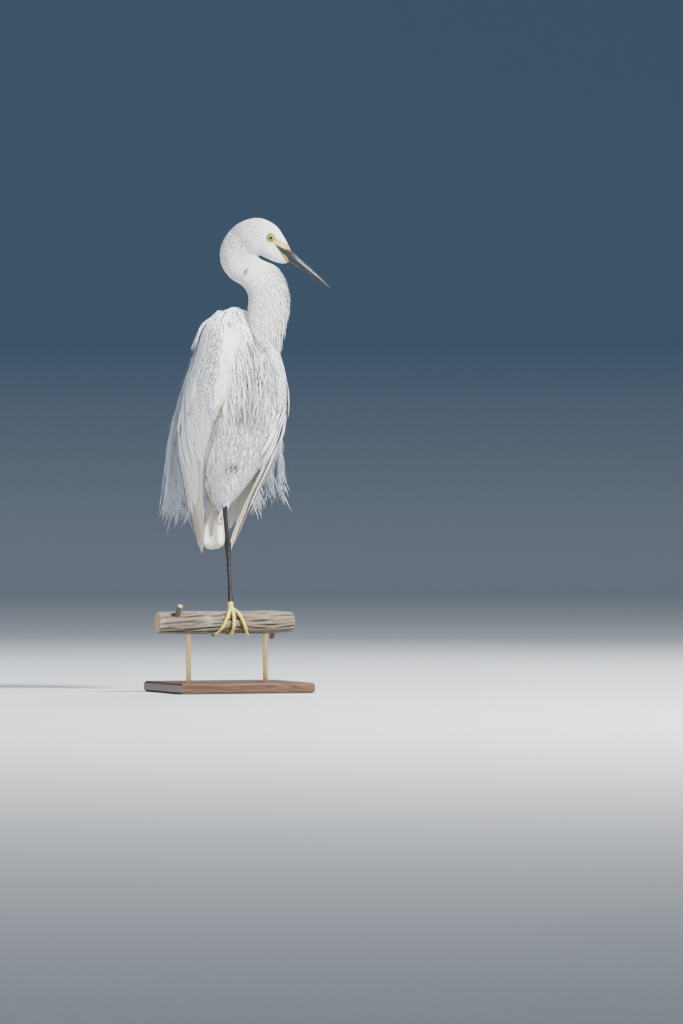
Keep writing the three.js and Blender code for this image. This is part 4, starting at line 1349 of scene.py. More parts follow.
# %% Parting in the neck coat
def neck_parting():
    t = np.linspace(0, 1, 9)
    draw = np.random.default_rng(97)
    made = []
    for number in range(5):
        shift = 0.07 * (number - 2)
        start, length = 0.18 * draw.random(), 0.7 + 0.3 * draw.random()
        station = 8.42 + shift - (0.66 * length) * t - 0.2 * start
        turn = 1.10 + 0.62 * (start + length * t)
        made.append(paths(neck_surface, station, turn, 0.45 + 0.25 * np.sin(math.pi * t)))
    centre, normal = (np.stack(v) for v in zip(*made))
    half = 0.42 * np.interp(t, [0, 0.4, 1], [0.2, 1, 0.1]) * np.ones((5, 1))
    place = np.full((5, 2), 0.5) + np.linspace(0, 0.03, 5)[:, None]
    return lay_small("neck_parting", centre, normal, half, 0.3 * half, place, tint_and_shade=1.0, material=parting_shadow)


# painted shadow: a near-black finish for the shade inside the parting
parting_shadow = feather_material(
    "painted_parting_shadow", (0.05, 0.05, 0.055), (0.03, 0.03, 0.035), (0.02, 0.02, 0.025), 20, 0.3,
)
neck_parting()

# %% [markdown]
# ## Bare skin of the face
# From round the eye to the base of the bill the face has no feathers. The skin there is yellow-green,
# turns to orange and pink at the bill, and has fine pores and folds, with a swollen ring round the eye.
# It is a thin closed plate that lies just over the bird's skin, cut out where the eyeball stands.

# %% Face skin
FACE_SIDES = {1: "right", -1: "left"}  # the right side of the head faces forwards
EYE_OUT = 12.2  # millimetres from the middle plane of the head to the centre of an eyeball
HEAD_MIDDLE = 30.0


def pores(points, scale, seed):
    """A smooth seeded roughness between -1 and 1, from a few crossed waves."""
    draw = np.random.default_rng(seed)
    total = 0
    for _ in range(7):
        way = unit(draw.standard_normal(3)) * scale * draw.uniform(0.6, 1.6)
        total = total + np.sin(points @ way + draw.uniform(0, 6.3))
    return total / 4


def mixed_material(name, stops, roughness, bump_scale, bump, coat, grain):
    """Colour from the first mark along a ramp, darkened by the second mark and mottled by noise."""
    material, tree, shader = new_material(name, roughness)
    parts = read_marks(tree)
    place = add_node(tree, "ShaderNodeTexCoord")
    mottle = noise(tree, bump_scale, 5.0, place.outputs["Object"])
    shift = maths(tree, "MULTIPLY", maths(tree, "SUBTRACT", mottle, 0.5), grain)
    tone = colour_ramp(tree, maths(tree, "ADD", parts[0], shift), stops)
    dark = blend_colour(tree, parts[1], tone, (0.012, 0.012, 0.012))
    tree.links.new(dark, shader.inputs["Base Color"])
    relief(tree, shader, mottle, bump, 0.3 * MM)
    shader.inputs["Specular IOR Level"].default_value = 0.3
    varnish(shader, coat, 0.12)
    return material


face_material = mixed_material(
    "bare_face_skin",
    [
        (0.0, (0.24, 0.26, 0.035)), (0.35, (0.32, 0.31, 0.045)), (0.62, (0.52, 0.36, 0.15)),
        (0.84, (0.54, 0.18, 0.065)), (1.0, (0.42, 0.10, 0.055)),
    ],
    0.42, 900.0, 0.35, coat=0.15, grain=0.22,
)


def face_skin(side):
    s, t = np.meshgrid(np.linspace(0.02, 3.3, 150), np.linspace(0.45, 2.75, 120), indexing="ij")
    turn = t if side > 0 else 2 * math.pi - t
    flat = neck_surface(s, turn, -FACE_COAT + 0.25)
    across, _, height = head_plane(flat)
    from_eye = np.hypot(across - EYE_AT[0], height - EYE_AT[1])
    edge = np.minimum(from_eye - BARE_RING, capsule_distance(across, height, LORE))
    wedge = capsule_distance(across, height, HORN_WEDGE)
    margin = np.minimum(edge, wedge - 0.9)
    ring = (
        0.95 * np.exp(-(((from_eye - 5.75) / 0.75) ** 2))
        + 0.4 * np.exp(-(((from_eye - 7.4) / 0.5) ** 2))
    )
    furrow = -0.5 * np.exp(-((capsule_distance(across, height, LORE_FURROW) / 1.1) ** 2))
    folds = (
        0.12 * np.sin(from_eye * 5.2 + 2 * pores(flat, 0.35, 3)) * np.exp(-from_eye / 16)
        + 0.09 * pores(flat, 2.6, 4)
    )
    sink = -2.6 * np.clip((margin - 0.4) / 1.6, 0, 1)
    out = -FACE_COAT + 0.55 + ring + furrow + folds + sink
    top = neck_surface(s, turn, out)
    under = neck_surface(s, turn, np.minimum(out - 0.6, -FACE_COAT - 0.9))
    mid = lambda v: (v[1:, 1:] + v[:-1, :-1]) / 2
    keep = (mid(margin) < 2.4) & (mid(from_eye) > 4.35)
    below = height < np.interp(across, [70, 95], [545.5, 527])
    tone = np.clip((across - 60) / 33, 0, 1) * np.where(below, 0.74, 0.95)
    rim = (
        0.85 * np.exp(-(((from_eye - 4.5) / 0.55) ** 2))
        + 0.25 * np.exp(-(((from_eye - 6.9) / 0.35) ** 2))
    )
    seam = 0.55 * np.exp(-((np.maximum(wedge, 0) / 0.5) ** 2)) * (across > 70)
    values = np.stack([tone, np.clip(rim + seam, 0, 1), 0 * tone, 1 + 0 * tone], -1)
    if side < 0:
        top, under, values, keep = (v[:, ::-1] for v in (top, under, values, keep))
    return plate_between(
        f"face_skin_{FACE_SIDES[side]}", top, under, keep, values, face_material,
    )


def open_sockets():
    """Sinks the skin where the eyeballs stand, so that it never covers them."""
    count = len(skin.data.vertices)
    flat = np.empty(count * 3, np.float32)
    skin.data.vertices.foreach_get("co", flat)
    points = flat.reshape(-1, 3).astype(float) / MM
    across, forward, height = head_plane(points)
    from_eye = np.hypot(across - EYE_AT[0], height - EYE_AT[1])
    depth = 4.5 * np.clip((7.2 - from_eye) / 2.2, 0, 1) * np.sign(forward - HEAD_MIDDLE)
    moved = in_neck_plane(across, forward - depth, height)
    skin.data.vertices.foreach_set("co", (moved * MM).astype(np.float32).ravel())
    skin.data.update()


open_sockets()
faces = {side: face_skin(side) for side in FACE_SIDES}

# %% [markdown]
# ## Eyes
# The eyeball is a wet sphere. Its iris is pale yellow with fine spokes, darker at its rim, round a black
# pupil. A separate lid edge, thin and dark, closes the ring of skin on the ball.

# %% Eyeballs and lid edges
def eye_material():
    material, tree, shader = new_material("eye_ball", 0.25)
    parts = read_marks(tree)
    spokes = noise(tree, 34.0, 3.0, parts[1], noise_dimensions="1D")
    iris = blend_colour(tree, spokes, (0.56, 0.44, 0.07), (0.40, 0.28, 0.03))
    rings = [(0.47, 0.0), (0.53, 1.0), (0.84, 0.9), (0.93, 0.0)]
    share = colour_ramp(tree, parts[0], [(at, (value,) * 3) for at, value in rings])
    share.node.color_ramp.interpolation = "EASE"
    colour = blend_colour(tree, share, (0.004, 0.004, 0.004), iris)
    tree.links.new(colour, shader.inputs["Base Color"])
    shader.inputs["Specular IOR Level"].default_value = 0.2
    varnish(shader, 0.3, 0.03)
    return material


eye_look = eye_material()
EYE_SPHERE, LID_RADIUS = 6.15, 4.7


def eye_centre(side):
    return in_neck_plane(EYE_AT[0], HEAD_MIDDLE + side * EYE_OUT, EYE_AT[1])


def eye_frame(side):
    tilt = math.radians(5)
    look = in_neck_plane(math.sin(tilt), side * math.cos(tilt), 0.0) - in_neck_plane(0.0, 0.0, 0.0)
    rise = np.array([0.0, 0.0, 1.0])
    return look, np.cross(rise, look), rise


def eyeball(side):
    look, wide, rise = eye_frame(side)
    polar = np.linspace(0.03, math.pi - 0.03, 48)
    turn = np.linspace(0, 2 * math.pi, 48, endpoint=False) * side
    p, t = np.meshgrid(polar, turn, indexing="ij")
    ray = (
        look * np.cos(p)[..., None]
        + (wide * np.cos(t)[..., None] + rise * np.sin(t)[..., None]) * np.sin(p)[..., None]
    )
    bulge = 0.22 * np.exp(-((p / 0.6) ** 2))
    corners, quads, tris = tube(eye_centre(side) + ray * (EYE_SPHERE + bulge)[..., None])
    piece = add_mesh(f"eyeball_{FACE_SIDES[side]}", corners, quads, tris, eye_look)
    share = np.append(np.sin(np.minimum(p, math.pi / 2)).ravel() * EYE_SPHERE / LID_RADIUS, [0, 1])
    around_eye = np.append((np.abs(t) / (2 * math.pi)).ravel(), [0, 0])
    set_marks(piece, np.stack([np.clip(share, 0, 1), around_eye, 0 * share, 1 + 0 * share], -1))
    return piece


def lid_edge(side):
    look, wide, rise = eye_frame(side)
    turn = np.linspace(0, 2 * math.pi, 64, endpoint=False)
    section = np.linspace(0, 2 * math.pi, 10, endpoint=False)
    a, b = np.meshgrid(turn, section * side, indexing="ij")
    ray = wide * np.cos(a)[..., None] + rise * np.sin(a)[..., None]
    small = 0.42 + 0.05 * np.sin(9 * a)
    depth = math.sqrt(EYE_SPHERE**2 - LID_RADIUS**2) + 0.15
    ring = (
        eye_centre(side) + look * (depth + small * np.sin(b))[..., None]
        + ray * (LID_RADIUS + small * np.cos(b))[..., None]
    )
    i, j = np.meshgrid(np.arange(64), np.arange(10), indexing="ij")
    corner = lambda u, v: (u % 64) * 10 + v % 10
    quads = np.stack([corner(i, j), corner(i, j + 1), corner(i + 1, j + 1), corner(i + 1, j)], -1)
    quads = quads.reshape(-1, 4)
    piece = add_mesh(
        f"lid_edge_{FACE_SIDES[side]}", ring.reshape(-1, 3), quads, None, face_material,
    )
    set_marks(piece, np.tile([0.2, 0.8, 0.0, 1.0], (640, 1)))
    return piece


eyes = {side: (eyeball(side), lid_edge(side)) for side in FACE_SIDES}

# %% [markdown]
# ## Bill
# Two long horn sheaths meet in a mouth line that runs back to below the eye. The sides are slightly flat,
# the ridge of the upper one is keeled, and a narrow slit before the face is the nostril. Fine lengthwise
# grooves in the mesh and lines of paler tone give the horn its streaks.

# %% Mandibles
BILL_GAPE, BILL_TIP, BILL_LENGTH = np.array([71.0, 547.0]), np.array([151.5, 483.5]), 102.5
# along the bill: half width, height of the upper part, depth of the lower part
bill_section = through([
    [-2, 16.4, 0.3, 0.3], [0, 17.3, 0.8, 0.8], [7, 15.8, 2.9, 3.7], [14, 13.7, 5.0, 6.2],
    [18, 12.0, 6.9, 7.0], [22, 10.2, 7.6, 7.3], [28, 8.3, 7.1, 7.0], [34, 7.1, 6.6, 6.1],
    [50, 6.0, 5.6, 5.0], [70, 4.6, 4.5, 3.9], [86, 3.1, 3.1, 2.7], [97, 1.5, 1.6, 1.3],
    [102.3, 0.4, 0.5, 0.4],
])
horn_look = mixed_material(
    "bill_horn_streaked",
    [
        (0.0, (0.006, 0.006, 0.008)), (0.55, (0.012, 0.013, 0.017)), (0.8, (0.045, 0.05, 0.062)),
        (0.93, (0.17, 0.15, 0.13)), (1.0, (0.42, 0.22, 0.13)),
    ],
    0.46, 350.0, 0.12, coat=0.08, grain=0.12,
)


def mandible(name, part):
    rows, arc = 240, 40
    along = np.concatenate([np.linspace(-2, 40, 100, endpoint=False), np.linspace(40, 102.3, rows - 100)])
    turn = np.linspace(0, math.pi, arc)
    a, t = np.meshgrid(along, turn, indexing="ij")
    half, up, down = np.moveaxis(bill_section(along), -1, 0)
    tall = (up if part > 0 else down)[:, None]
    power = np.interp(along, [0, 20, 45, 102], [4.6, 3.4, 2.3, 2.0])[:, None]
    c, s = np.cos(t), np.sin(t)
    scale = (np.abs(c) ** power + np.abs(s) ** power) ** (-1 / power)
    side_out, lift = half[:, None] * c * scale, tall * s * scale
    groove = 0.10 * np.sin(t * 31) * np.clip((a - 12) / 20, 0, 1) * np.clip((100 - a) / 30, 0, 1)
    keel = (
        0.35 * np.exp(-(((t - math.pi / 2) / 0.12) ** 2)) * np.clip((a - 16) / 14, 0, 1)
        * np.clip((96 - a) / 40, 0, 1)
    )
    slit = np.zeros_like(a)
    if part > 0:
        slit = np.exp(-(((a - 31) / 5.5) ** 4)) * np.exp(-(((np.abs(c) - 0.72) / 0.10) ** 2))
    shrink = 1 + (groove + keel - 1.3 * slit) / np.maximum(np.hypot(side_out, lift), 1.0)
    side_out, lift = side_out * shrink, np.maximum(lift * shrink, 0.12)
    run = BILL_TIP - BILL_GAPE
    across = BILL_GAPE[0] + run[0] * a / BILL_LENGTH
    height = BILL_GAPE[1] + run[1] * a / BILL_LENGTH
    tilt_across, tilt_up = -run[1] / BILL_LENGTH, run[0] / BILL_LENGTH
    points = in_neck_plane(
        across + tilt_across * lift * part, HEAD_MIDDLE + side_out * part,
        height + tilt_up * lift * part,
    )
    corners, quads, tris = tube(points)
    piece = add_mesh(name, corners, quads, tris, horn_look)
    draw = np.random.default_rng(7 + part)
    lines = np.interp(np.linspace(0, 1, arc), np.linspace(0, 1, 19), draw.random(19))
    tone = (
        0.35 + 0.42 * lines[None] ** 2 * np.clip((a - 8) / 30, 0.3, 1)
        + 0.1 * np.sin(a * 0.21 + 7 * lines[None])
    )
    blush = (
        np.clip(1 - np.abs(a - (17 if part > 0 else 26)) / 4.5, 0, 1)
        * (s > (0.80 if part > 0 else 0.86))
    )
    tone = np.where(blush > 0.25, 0.9 + 0.1 * blush, tone)
    seam = np.clip(1 - np.minimum(t, math.pi - t) / 0.12, 0, 1) * 0.8 + slit
    values = np.stack([np.clip(tone, 0, 1), np.clip(seam, 0, 1), 0 * a, 1 + 0 * a], -1).reshape(-1, 4)
    set_marks(piece, np.concatenate([values, values[:2]]))
    return piece


upper_mandible, lower_mandible = mandible("upper_mandible", 1), mandible("lower_mandible", -1)
for piece in (
    *faces.values(), *[p for pair in eyes.values() for p in pair], upper_mandible, lower_mandible,
):
    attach(piece, "root")
print("face, eyes and bill in place")

# %% [markdown]
# ## Legs
# A heron's bare leg is scaled. Broad plates overlap down the front, and small rounded ones cover the rest.
# Both are cut into the mesh: each limb is a fine tube whose radius follows a pattern of its own length and
# turn. The skin is glossy black, and the toes are yellow with black claws.

# %% Scaled limbs
# x, y, height over the sole and radius, from inside the thigh down to the foot
LEG = [
    [-4.5, 6, 172, 3.8], [-4, 8.5, 156, 3.6], [-2, 10.8, 140, 3.3], [0, 13, 124, 3.2],
    [2.4, 15.2, 110, 3.5], [3.8, 16.5, 101, 4.9], [4, 16.7, 96, 5.1], [4, 15.5, 89, 4.1],
    [3.8, 12.9, 76, 3.1], [3.5, 10, 62, 2.8], [3.2, 6.9, 45, 2.8], [3, 4, 28, 3.0],
    [2.7, 1.6, 13.5, 3.8], [2.6, 0.6, 8, 4.0],
]
leg_skin = mixed_material(
    "leg_scale_skin",
    [
        (0.0, (0.004, 0.004, 0.005)), (0.5, (0.009, 0.009, 0.011)), (0.85, (0.028, 0.028, 0.036)),
        (1.0, (0.14, 0.14, 0.18)),
    ],
    0.40, 260.0, 0.15, coat=0.12, grain=0.2,
)
toe_skin = mixed_material(
    "toe_scale_skin",
    [
        (0.0, (0.30, 0.24, 0.035)), (0.4, (0.62, 0.52, 0.06)), (0.75, (0.74, 0.66, 0.12)),
        (1.0, (0.80, 0.74, 0.30)),
    ],
    0.40, 240.0, 0.2, coat=0.2, grain=0.3,
)
# painted shade: a grey copy of the toe skin for the tucked toes, which sit in the shade of the belly
tucked_toe_shade = mixed_material(
    "tucked_toe_painted_shade",
    [
        (0.0, (0.12, 0.12, 0.13)), (0.5, (0.22, 0.22, 0.235)), (0.85, (0.34, 0.34, 0.36)),
        (1.0, (0.48, 0.48, 0.50)),
    ],
    0.5, 260.0, 0.15, coat=0.0, grain=0.2,
)
claw_horn = mixed_material(
    "claw_horn", [(0.0, (0.012, 0.010, 0.010)), (0.7, (0.035, 0.03, 0.028)), (1.0, (0.12, 0.10, 0.08))],
    0.28, 300.0, 0.1, coat=0.4, grain=0.15,
)


RING_STEP = 0.42  # millimetres between the rings of a limb
FRONT_SEAM = 1.05  # radians from the front of a limb to the seam between its plates and its cells


def scaled_limb(name, stations, front, plate_length, material, sides=40, depth=0.20):
    curve = through([[i, *row] for i, row in enumerate(stations)])
    fine = curve(np.linspace(0, len(stations) - 1, 400))
    walked = np.append(0, np.cumsum(np.linalg.norm(np.diff(fine[:, :3], axis=0), axis=1)))
    count = int(walked[-1] / RING_STEP)
    distance = np.linspace(0, walked[-1], count)
    x, y, h, r = (np.interp(distance, walked, fine[:, k]) for k in range(4))
    middle = np.stack([x, y, SOLE + h], -1)
    ahead = unit(np.gradient(middle, axis=0))
    forward = unit(front - ahead * np.sum(ahead * front, -1, keepdims=True))
    side = np.cross(ahead, forward)
    turn = np.linspace(0, 2 * math.pi, sides, endpoint=False)
    t, d = np.meshgrid(turn, distance)
    round_angle = np.minimum(t, 2 * math.pi - t)
    saw = (d / plate_length + 0.12 * np.cos(t * 2)) % 1.0
    plates = depth * (1.1 * saw - 0.4 - 1.2 * np.exp(-(((saw - 0.02) / 0.07) ** 2)))
    lane = round_angle * r[:, None] / (plate_length * 0.42)
    offset = 0.5 * (np.floor(lane) % 2)
    cell = np.abs(np.sin(math.pi * lane) * np.sin(math.pi * (d / (plate_length * 0.5) + offset)))
    cells = depth * (0.9 * cell**0.45 - 0.6)
    front_share = 1 / (1 + np.exp((round_angle - FRONT_SEAM) / 0.08))
    seam = np.exp(-(((round_angle - FRONT_SEAM) / 0.07) ** 2))
    bumps = plates * front_share + cells * (1 - front_share) - depth * 0.8 * seam
    reach = r[:, None] + bumps
    wheel = forward[:, None] * np.cos(t)[..., None] + side[:, None] * np.sin(t)[..., None]
    piece = add_mesh(name, *tube((middle[:, None] + wheel * reach[..., None])[:, ::-1]), material)
    groove = np.clip(-bumps / depth, 0, 1)[:, ::-1]
    own = np.random.default_rng(int(plate_length * 100)).random(4000)
    shade = 0.5 + 0.3 * (own[(np.floor(d / plate_length).astype(int) * 7) % 4000][:, ::-1] - 0.5)
    values = np.stack([np.clip(shade, 0, 1), 0.75 * groove, 0 * groove, 1 + 0 * groove], -1).reshape(-1, 4)
    set_marks(piece, np.concatenate([values, values[:1], values[-1:]]))
    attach(piece, "root")
    return piece


leg_scales = scaled_limb("leg_scales", LEG, np.array([0.35, -1.0, 0.0]), 3.3, leg_skin)

# %% [markdown]
# ## Standing foot
# Three toes reach over the front of the perch and the fourth grips it from behind. Each is a chain of
# scaled joints with soft pads below, and ends in a curved claw.

# %% Toes and claws
PERCH_RADIUS, PERCH_HEIGHT, TOE_SIZE = 17.0, 105.0, 2.55
# name, millimetres sideways for each three radians, degrees round the perch, degrees of the claw
TOE_SPREADS = [
    ("outer", -30, 158, 22), ("middle", -3, 196, 24), ("inner", 26, 168, 22), ("hind", 6, -98, -26),
]


def toe_line(spread, angle, radius):
    """x, y, height over the sole and radius of points round the perch, at angles from its top forwards."""
    r = PERCH_RADIUS + 0.4 + radius
    x = 2.6 + spread * np.abs(angle) / 3
    return np.stack([x, -r * np.sin(angle), r * np.cos(angle) - PERCH_RADIUS, radius], -1)


def toes():
    made = []
    for label, spread, reach, claw in TOE_SPREADS:
        t = np.linspace(0, 1, 22)
        joints = 3 + (label == "middle")
        swell = 1.12 - 0.34 * t + 0.09 * np.cos(2 * math.pi * joints * t)
        line = toe_line(spread, math.radians(reach) * t, TOE_SIZE * swell)
        made.append(toe_tube(f"{label}_toe", line, 1.9))
        end = math.radians(reach) + math.radians(claw) * np.linspace(0, 1, 14)
        thick = np.interp(np.linspace(0, 1, 14), [0, 0.25, 1], [1.75, 1.55, 0.3])
        tip = toe_line(spread, end, thick)
        tip[:, 0] = line[-1, 0] + (tip[:, 0] - tip[0, 0])
        arch = 1.0 * np.sin(math.pi * np.linspace(0, 1, 14))
        tip[:, 1] -= arch * np.sin(end)
        tip[:, 2] += arch * np.cos(end)
        rings = ring_along(tip, 18, pace=2)
        piece = add_mesh(f"{label}_claw", *tube(rings), claw_horn)
        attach(piece, "root")
        made.append(piece)
    return made


def toe_tube(name, line, plate_length):
    """A toe whose scutes face away from the perch."""
    curve = through([[i, *row] for i, row in enumerate(line)])
    p = curve(np.linspace(0, len(line) - 1, 170))
    middle = np.stack([p[:, 0], p[:, 1], SOLE + p[:, 2]], -1)
    ahead = unit(np.gradient(middle, axis=0))
    axis = np.stack([middle[:, 0], 0 * middle[:, 0], 0 * middle[:, 0] + PERCH_HEIGHT], -1)
    away = middle - axis
    top = unit(away - ahead * np.sum(ahead * away, -1, keepdims=True))
    side = np.cross(ahead, top)
    d = np.append(0, np.cumsum(np.linalg.norm(np.diff(middle, axis=0), axis=1)))
    turn = np.linspace(0, 2 * math.pi, 32, endpoint=False)
    t, dd = np.meshgrid(turn, d)
    over = np.minimum(t, 2 * math.pi - t)
    saw = (dd / plate_length) % 1.0
    plates = 0.20 * (saw - 0.5) - 0.22 * np.exp(-(((saw - 0.03) / 0.09) ** 2))
    pads = 0.25 * np.sin(dd * 1.35) + 0.10 * np.sin(dd * 5.1 + 6 * t)
    share = 1 / (1 + np.exp((over - 1.25) / 0.12))
    bumps = plates * share + pads * (1 - share) * 0.6 - 0.12 * np.exp(-(((over - 1.25) / 0.1) ** 2))
    wheel = top[:, None] * np.cos(t)[..., None] + side[:, None] * np.sin(t)[..., None]
    piece = add_mesh(
        name, *tube((middle[:, None] + wheel * (p[:, 3:4] + bumps)[..., None])[:, ::-1]), toe_skin,
    )
    groove = np.clip(-bumps * 3.2, 0, 1)[:, ::-1]
    tone = 0.55 + 0.125 * np.sin(0.9 * dd + 2)[:, ::-1]
    values = np.stack([tone, 0.5 * groove, 0 * groove, 1 + 0 * groove], -1).reshape(-1, 4)
    set_marks(piece, np.concatenate([values, values[:1], values[-1:]]))
    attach(piece, "root")
    return piece


foot_pieces = toes()
sole_pad = scaled_limb(
    "foot_pad", [
        [2.7, 2.0, 14.5, 3.7], [2.6, 1.0, 10, 4.3], [2.6, 0.4, 6, 4.6], [2.6, 0, 3.2, 4.3],
        [2.6, 0, 1.4, 3.2],
    ],
    np.array([0.35, -1.0, 0.0]), 2.4, toe_skin, depth=0.16,
)

# %% [markdown]
# The other foot is drawn up into the belly. Only the curled toes show between the feathers, as a small
# grey place low on the belly. The toes are yellow like those of the standing foot, and their grey is painted
# shade of the hollow they sit in.

# %% Tucked toes
TUCKED_TOES = [
    [[-3, -27.5, 213, 2.4], [-10, -32.4, 216.4, 2.2], [-15, -33.0, 213, 1.9], [-16, -30, 208, 0.8]],
    [[-3, -27.5, 214, 2.4], [-5, -35.2, 218.4, 2.2], [-8, -37.8, 213, 1.9], [-9, -33.8, 207, 0.8]],
    [[-3, -27.5, 213, 2.4], [1, -34.4, 217.4, 2.2], [0, -37.3, 212, 1.9], [-1, -32.8, 206, 0.8]],
]
tucked_foot = [
    scaled_limb(
        f"tucked_toe_{number + 1}", stations, np.array([0.0, -1.0, 0.5]), 1.7, tucked_toe_shade,
        sides=24, depth=0.14,
    )
    for number, stations in enumerate(TUCKED_TOES)
]

# %% [markdown]
# ## Perch
# The perch is a length of weathered branch. Its bark is furrowed along the grain, and the furrows are real
# relief that only goes inwards, so the toes rest on what is left. The sawn ends show their rings.

# %% Bark and sawn ends
def bark_material():
    material, tree, shader = new_material("weathered_bark", 0.82)
    parts = read_marks(tree)
    place, stretched = stretched_place(tree, (40.0, 260.0, 260.0))
    grain = noise(tree, 1.0, 6.0, stretched)
    patches = noise(tree, 38.0, 3.0, place)
    base = blend_colour(tree, grain, (0.060, 0.042, 0.030), (0.26, 0.21, 0.16))
    patch = maths(tree, "MULTIPLY", maths(tree, "SUBTRACT", patches, 0.56), 9.0)
    crust = maths(
        tree, "MULTIPLY", maths(tree, "MINIMUM", maths(tree, "MAXIMUM", patch, 0.0), 1.0),
        grain,
    )
    lichen = maths(tree, "MULTIPLY", crust, 0.9)
    weathered = blend_colour(tree, lichen, base, (0.30, 0.31, 0.25))
    deep = blend_colour(tree, parts[0], weathered, (0.020, 0.014, 0.010))
    rings = maths(
        tree, "SINE",
        maths(
            tree, "MULTIPLY_ADD", parts[2], 62.0,
            maths(tree, "MULTIPLY", patches, 5.0),
        ),
    )
    heart = blend_colour(
        tree, maths(tree, "MULTIPLY_ADD", rings, 0.5, 0.5), (0.50, 0.34, 0.19), (0.36, 0.22, 0.11),
    )
    colour = blend_colour(tree, parts[1], deep, heart)
    tree.links.new(colour, shader.inputs["Base Color"])
    relief(tree, shader, grain, 0.5, 0.8 * MM)
    return material


bark = bark_material()
# along the perch: how far it bows back, and its thickness as a share of its radius
perch_path = through([
    [-112, 2.5, 0.96], [-60, 0.6, 1.04], [-20, 0, 1], [25, 0, 1], [65, 1.2, 1.03], [100, 4, 0.9],
])


def branch(name, centre_line, radius_line, depth, seed, sides=150):
    """A closed furrowed stick along an array of points. Its ends are sawn flat and carry ring marks."""
    ahead = unit(np.gradient(centre_line, axis=0))
    side = unit(np.cross(ahead, [0.05, 1.0, 0.1]))
    other = np.cross(ahead, side)
    turn = np.linspace(0, 2 * math.pi, sides, endpoint=False)
    d = np.append(0, np.cumsum(np.linalg.norm(np.diff(centre_line, axis=0), axis=1)))
    t, dd = np.meshgrid(turn, d)
    draw = np.random.default_rng(seed)
    furrow = 0
    for _ in range(9):
        strands = draw.integers(7, 21)
        twist = draw.uniform(0.02, 0.10) * dd
        waver = 1.5 * np.sin(0.05 * dd * draw.uniform(0.6, 1.6) + draw.uniform(0, 6))
        furrow = furrow + np.sin(strands * t + twist + waver + draw.uniform(0, 6))
    cracks = np.clip(-furrow / 4.2, 0, 1) ** 0.8
    steps = 0.25 * np.sin(0.55 * dd + 2.2 * np.sin(3 * t + 0.05 * dd))
    cut = depth * (cracks + 0.18 + 0.18 * steps * (1 - cracks))
    reach = radius_line[:, None] - np.maximum(cut, 0.02)
    wheel = side[:, None] * np.cos(t)[..., None] + other[:, None] * np.sin(t)[..., None]
    rings = centre_line[:, None] + wheel * reach[..., None]
    values = np.stack([cracks, 0 * t, 0 * t, 1 + 0 * t], -1)
    inner = np.linspace(1, 0.04, 18)
    start = centre_line[0] + (rings[0] - centre_line[0])[None] * inner[::-1, None, None]
    end = centre_line[-1] + (rings[-1] - centre_line[-1])[None] * inner[:, None, None]
    end_values = np.broadcast_to(np.array([0, 1, 0, 1.0]), (18, sides, 4)).copy()
    end_values[..., 2] = inner[:, None]
    end_values[0, :, 1] = 0
    corners, quads, tris = tube(np.concatenate([start, rings, end]))
    piece = add_mesh(name, corners, quads, tris, bark)
    marks = np.concatenate([end_values[::-1], values, end_values]).reshape(-1, 4)
    set_marks(piece, np.concatenate([marks, [[0, 1, 0, 1], [0, 1, 0, 1]]]))
    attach(piece, "root")
    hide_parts("perch")
    return piece


def twig_stub(name, x, lean, length, radius, seed):
    way = np.array([0.0, math.cos(lean + math.pi / 2), math.sin(lean + math.pi / 2)])
    t = np.linspace(0.45, 1, 40)
    line = np.array([x, 0.0, PERCH_HEIGHT]) + way * (length + PERCH_RADIUS) * t[:, None]
    return branch(name, line, radius * (1.25 - 0.45 * t), 0.5, seed, sides=60)


along = np.linspace(-112, 100, 260)
sway, swell = np.moveaxis(perch_path(along), -1, 0)
branch(
    "perch_bark", np.stack([along, sway, 0 * along + PERCH_HEIGHT], -1), PERCH_RADIUS * swell, 1.5, 91,
)
twig_stub("twig_stub_1", -84, 0.7, 16, 5, 92)
twig_stub("twig_stub_2", 74, -2.5, 13, 4.5, 93)

# %% [markdown]
# ## Stand
# The board and the two rods are the solids of the frame as they are. They only need their finishes:
# stained wood with a long grain under satin varnish, and brushed brass.

# %% Wood and brass
def stained_wood():
    material, tree, shader = new_material("stained_wood", 0.38)
    figure = noise(tree, 1.2, 7.0, stretched_place(tree, (5.0, 70.0, 60.0))[1])
    figure.node.inputs["Distortion"].default_value = 0.6
    waves = maths(tree, "SINE", maths(tree, "MULTIPLY", figure, 46.0))
    streaks = maths(tree, "MULTIPLY_ADD", waves, 0.5, 0.5)
    colour = blend_colour(tree, streaks, (0.050, 0.022, 0.011), (0.125, 0.060, 0.028))
    tree.links.new(colour, shader.inputs["Base Color"])
    relief(tree, shader, streaks, 0.12, 0.3 * MM)
    varnish(shader, 0.3, 0.2)
    return material


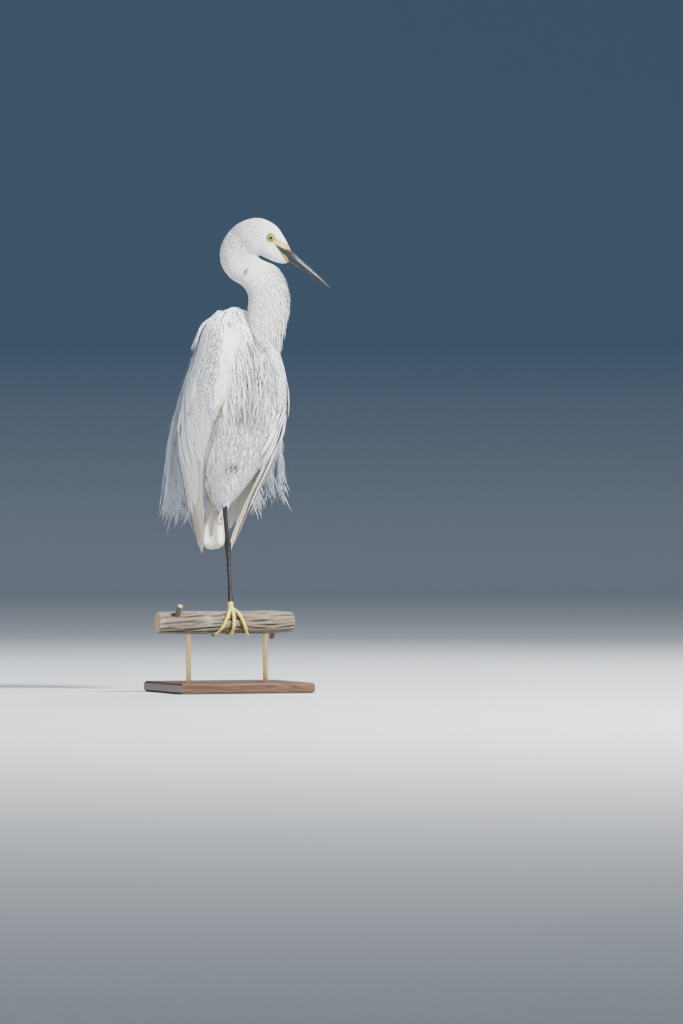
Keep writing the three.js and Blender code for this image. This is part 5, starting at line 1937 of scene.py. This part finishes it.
def brushed_brass():
    material, tree, shader = new_material("brushed_brass", 0.5)
    brush = noise(tree, 1.0, 3.0, stretched_place(tree, (900.0, 900.0, 12.0))[1])
    colour = blend_colour(tree, brush, (0.62, 0.42, 0.16), (0.80, 0.60, 0.30))
    tree.links.new(colour, shader.inputs["Base Color"])
    tree.links.new(maths(tree, "MULTIPLY_ADD", brush, 0.25, 0.18), shader.inputs["Roughness"])
    shader.inputs["Metallic"].default_value = 1.0
    return material


finishes = {"stand_base": stained_wood(), "stand_rod_1": brushed_brass()}
finishes["stand_rod_2"] = finishes["stand_rod_1"]
for name, finish in finishes.items():
    node = bpy.data.objects[name]
    node.data.materials.clear()
    node.data.materials.append(finish)

# %% [markdown]
# ## The skin's own finish
# The skin shows only as a hint of grey between feathers, so it is matt and mottled.

# %% Skin finish
hidden_skin, skin_tree, skin_shader = new_material("skin_under_feathers", 0.8)
mottling = noise(skin_tree, 120.0, 2.0)
skin_colour = blend_colour(skin_tree, mottling, (0.60, 0.62, 0.66), (0.78, 0.79, 0.80))
skin_tree.links.new(skin_colour, skin_shader.inputs["Base Color"])
skin.data.materials.clear()
skin.data.materials.append(hidden_skin)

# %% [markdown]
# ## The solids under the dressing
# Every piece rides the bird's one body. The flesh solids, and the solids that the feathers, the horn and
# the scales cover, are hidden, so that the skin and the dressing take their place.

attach(skin, "root")
for node in ("head", "neck_upper", "neck_lower", "torso", "thigh_right"):
    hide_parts(node)
for (label, side), piece in wing_pieces.items():
    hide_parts("wing_left" if side > 0 else "wing_right")
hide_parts("wing_right")
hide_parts("tail")
for side, (ball, _) in eyes.items():
    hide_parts("eye_right" if side > 0 else "eye_left")
for piece, node in ((upper_mandible, "bill_upper"), (lower_mandible, "bill_lower")):
    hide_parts(node)
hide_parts("shank_right", "tarsus_right")
for piece in (*foot_pieces, sole_pad):
    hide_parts("foot_right")
for piece in tucked_foot:
    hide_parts("foot_left")

dressed_box = [list(corner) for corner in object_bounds()]
print("solids box", cad_box, "dressed box", dressed_box)
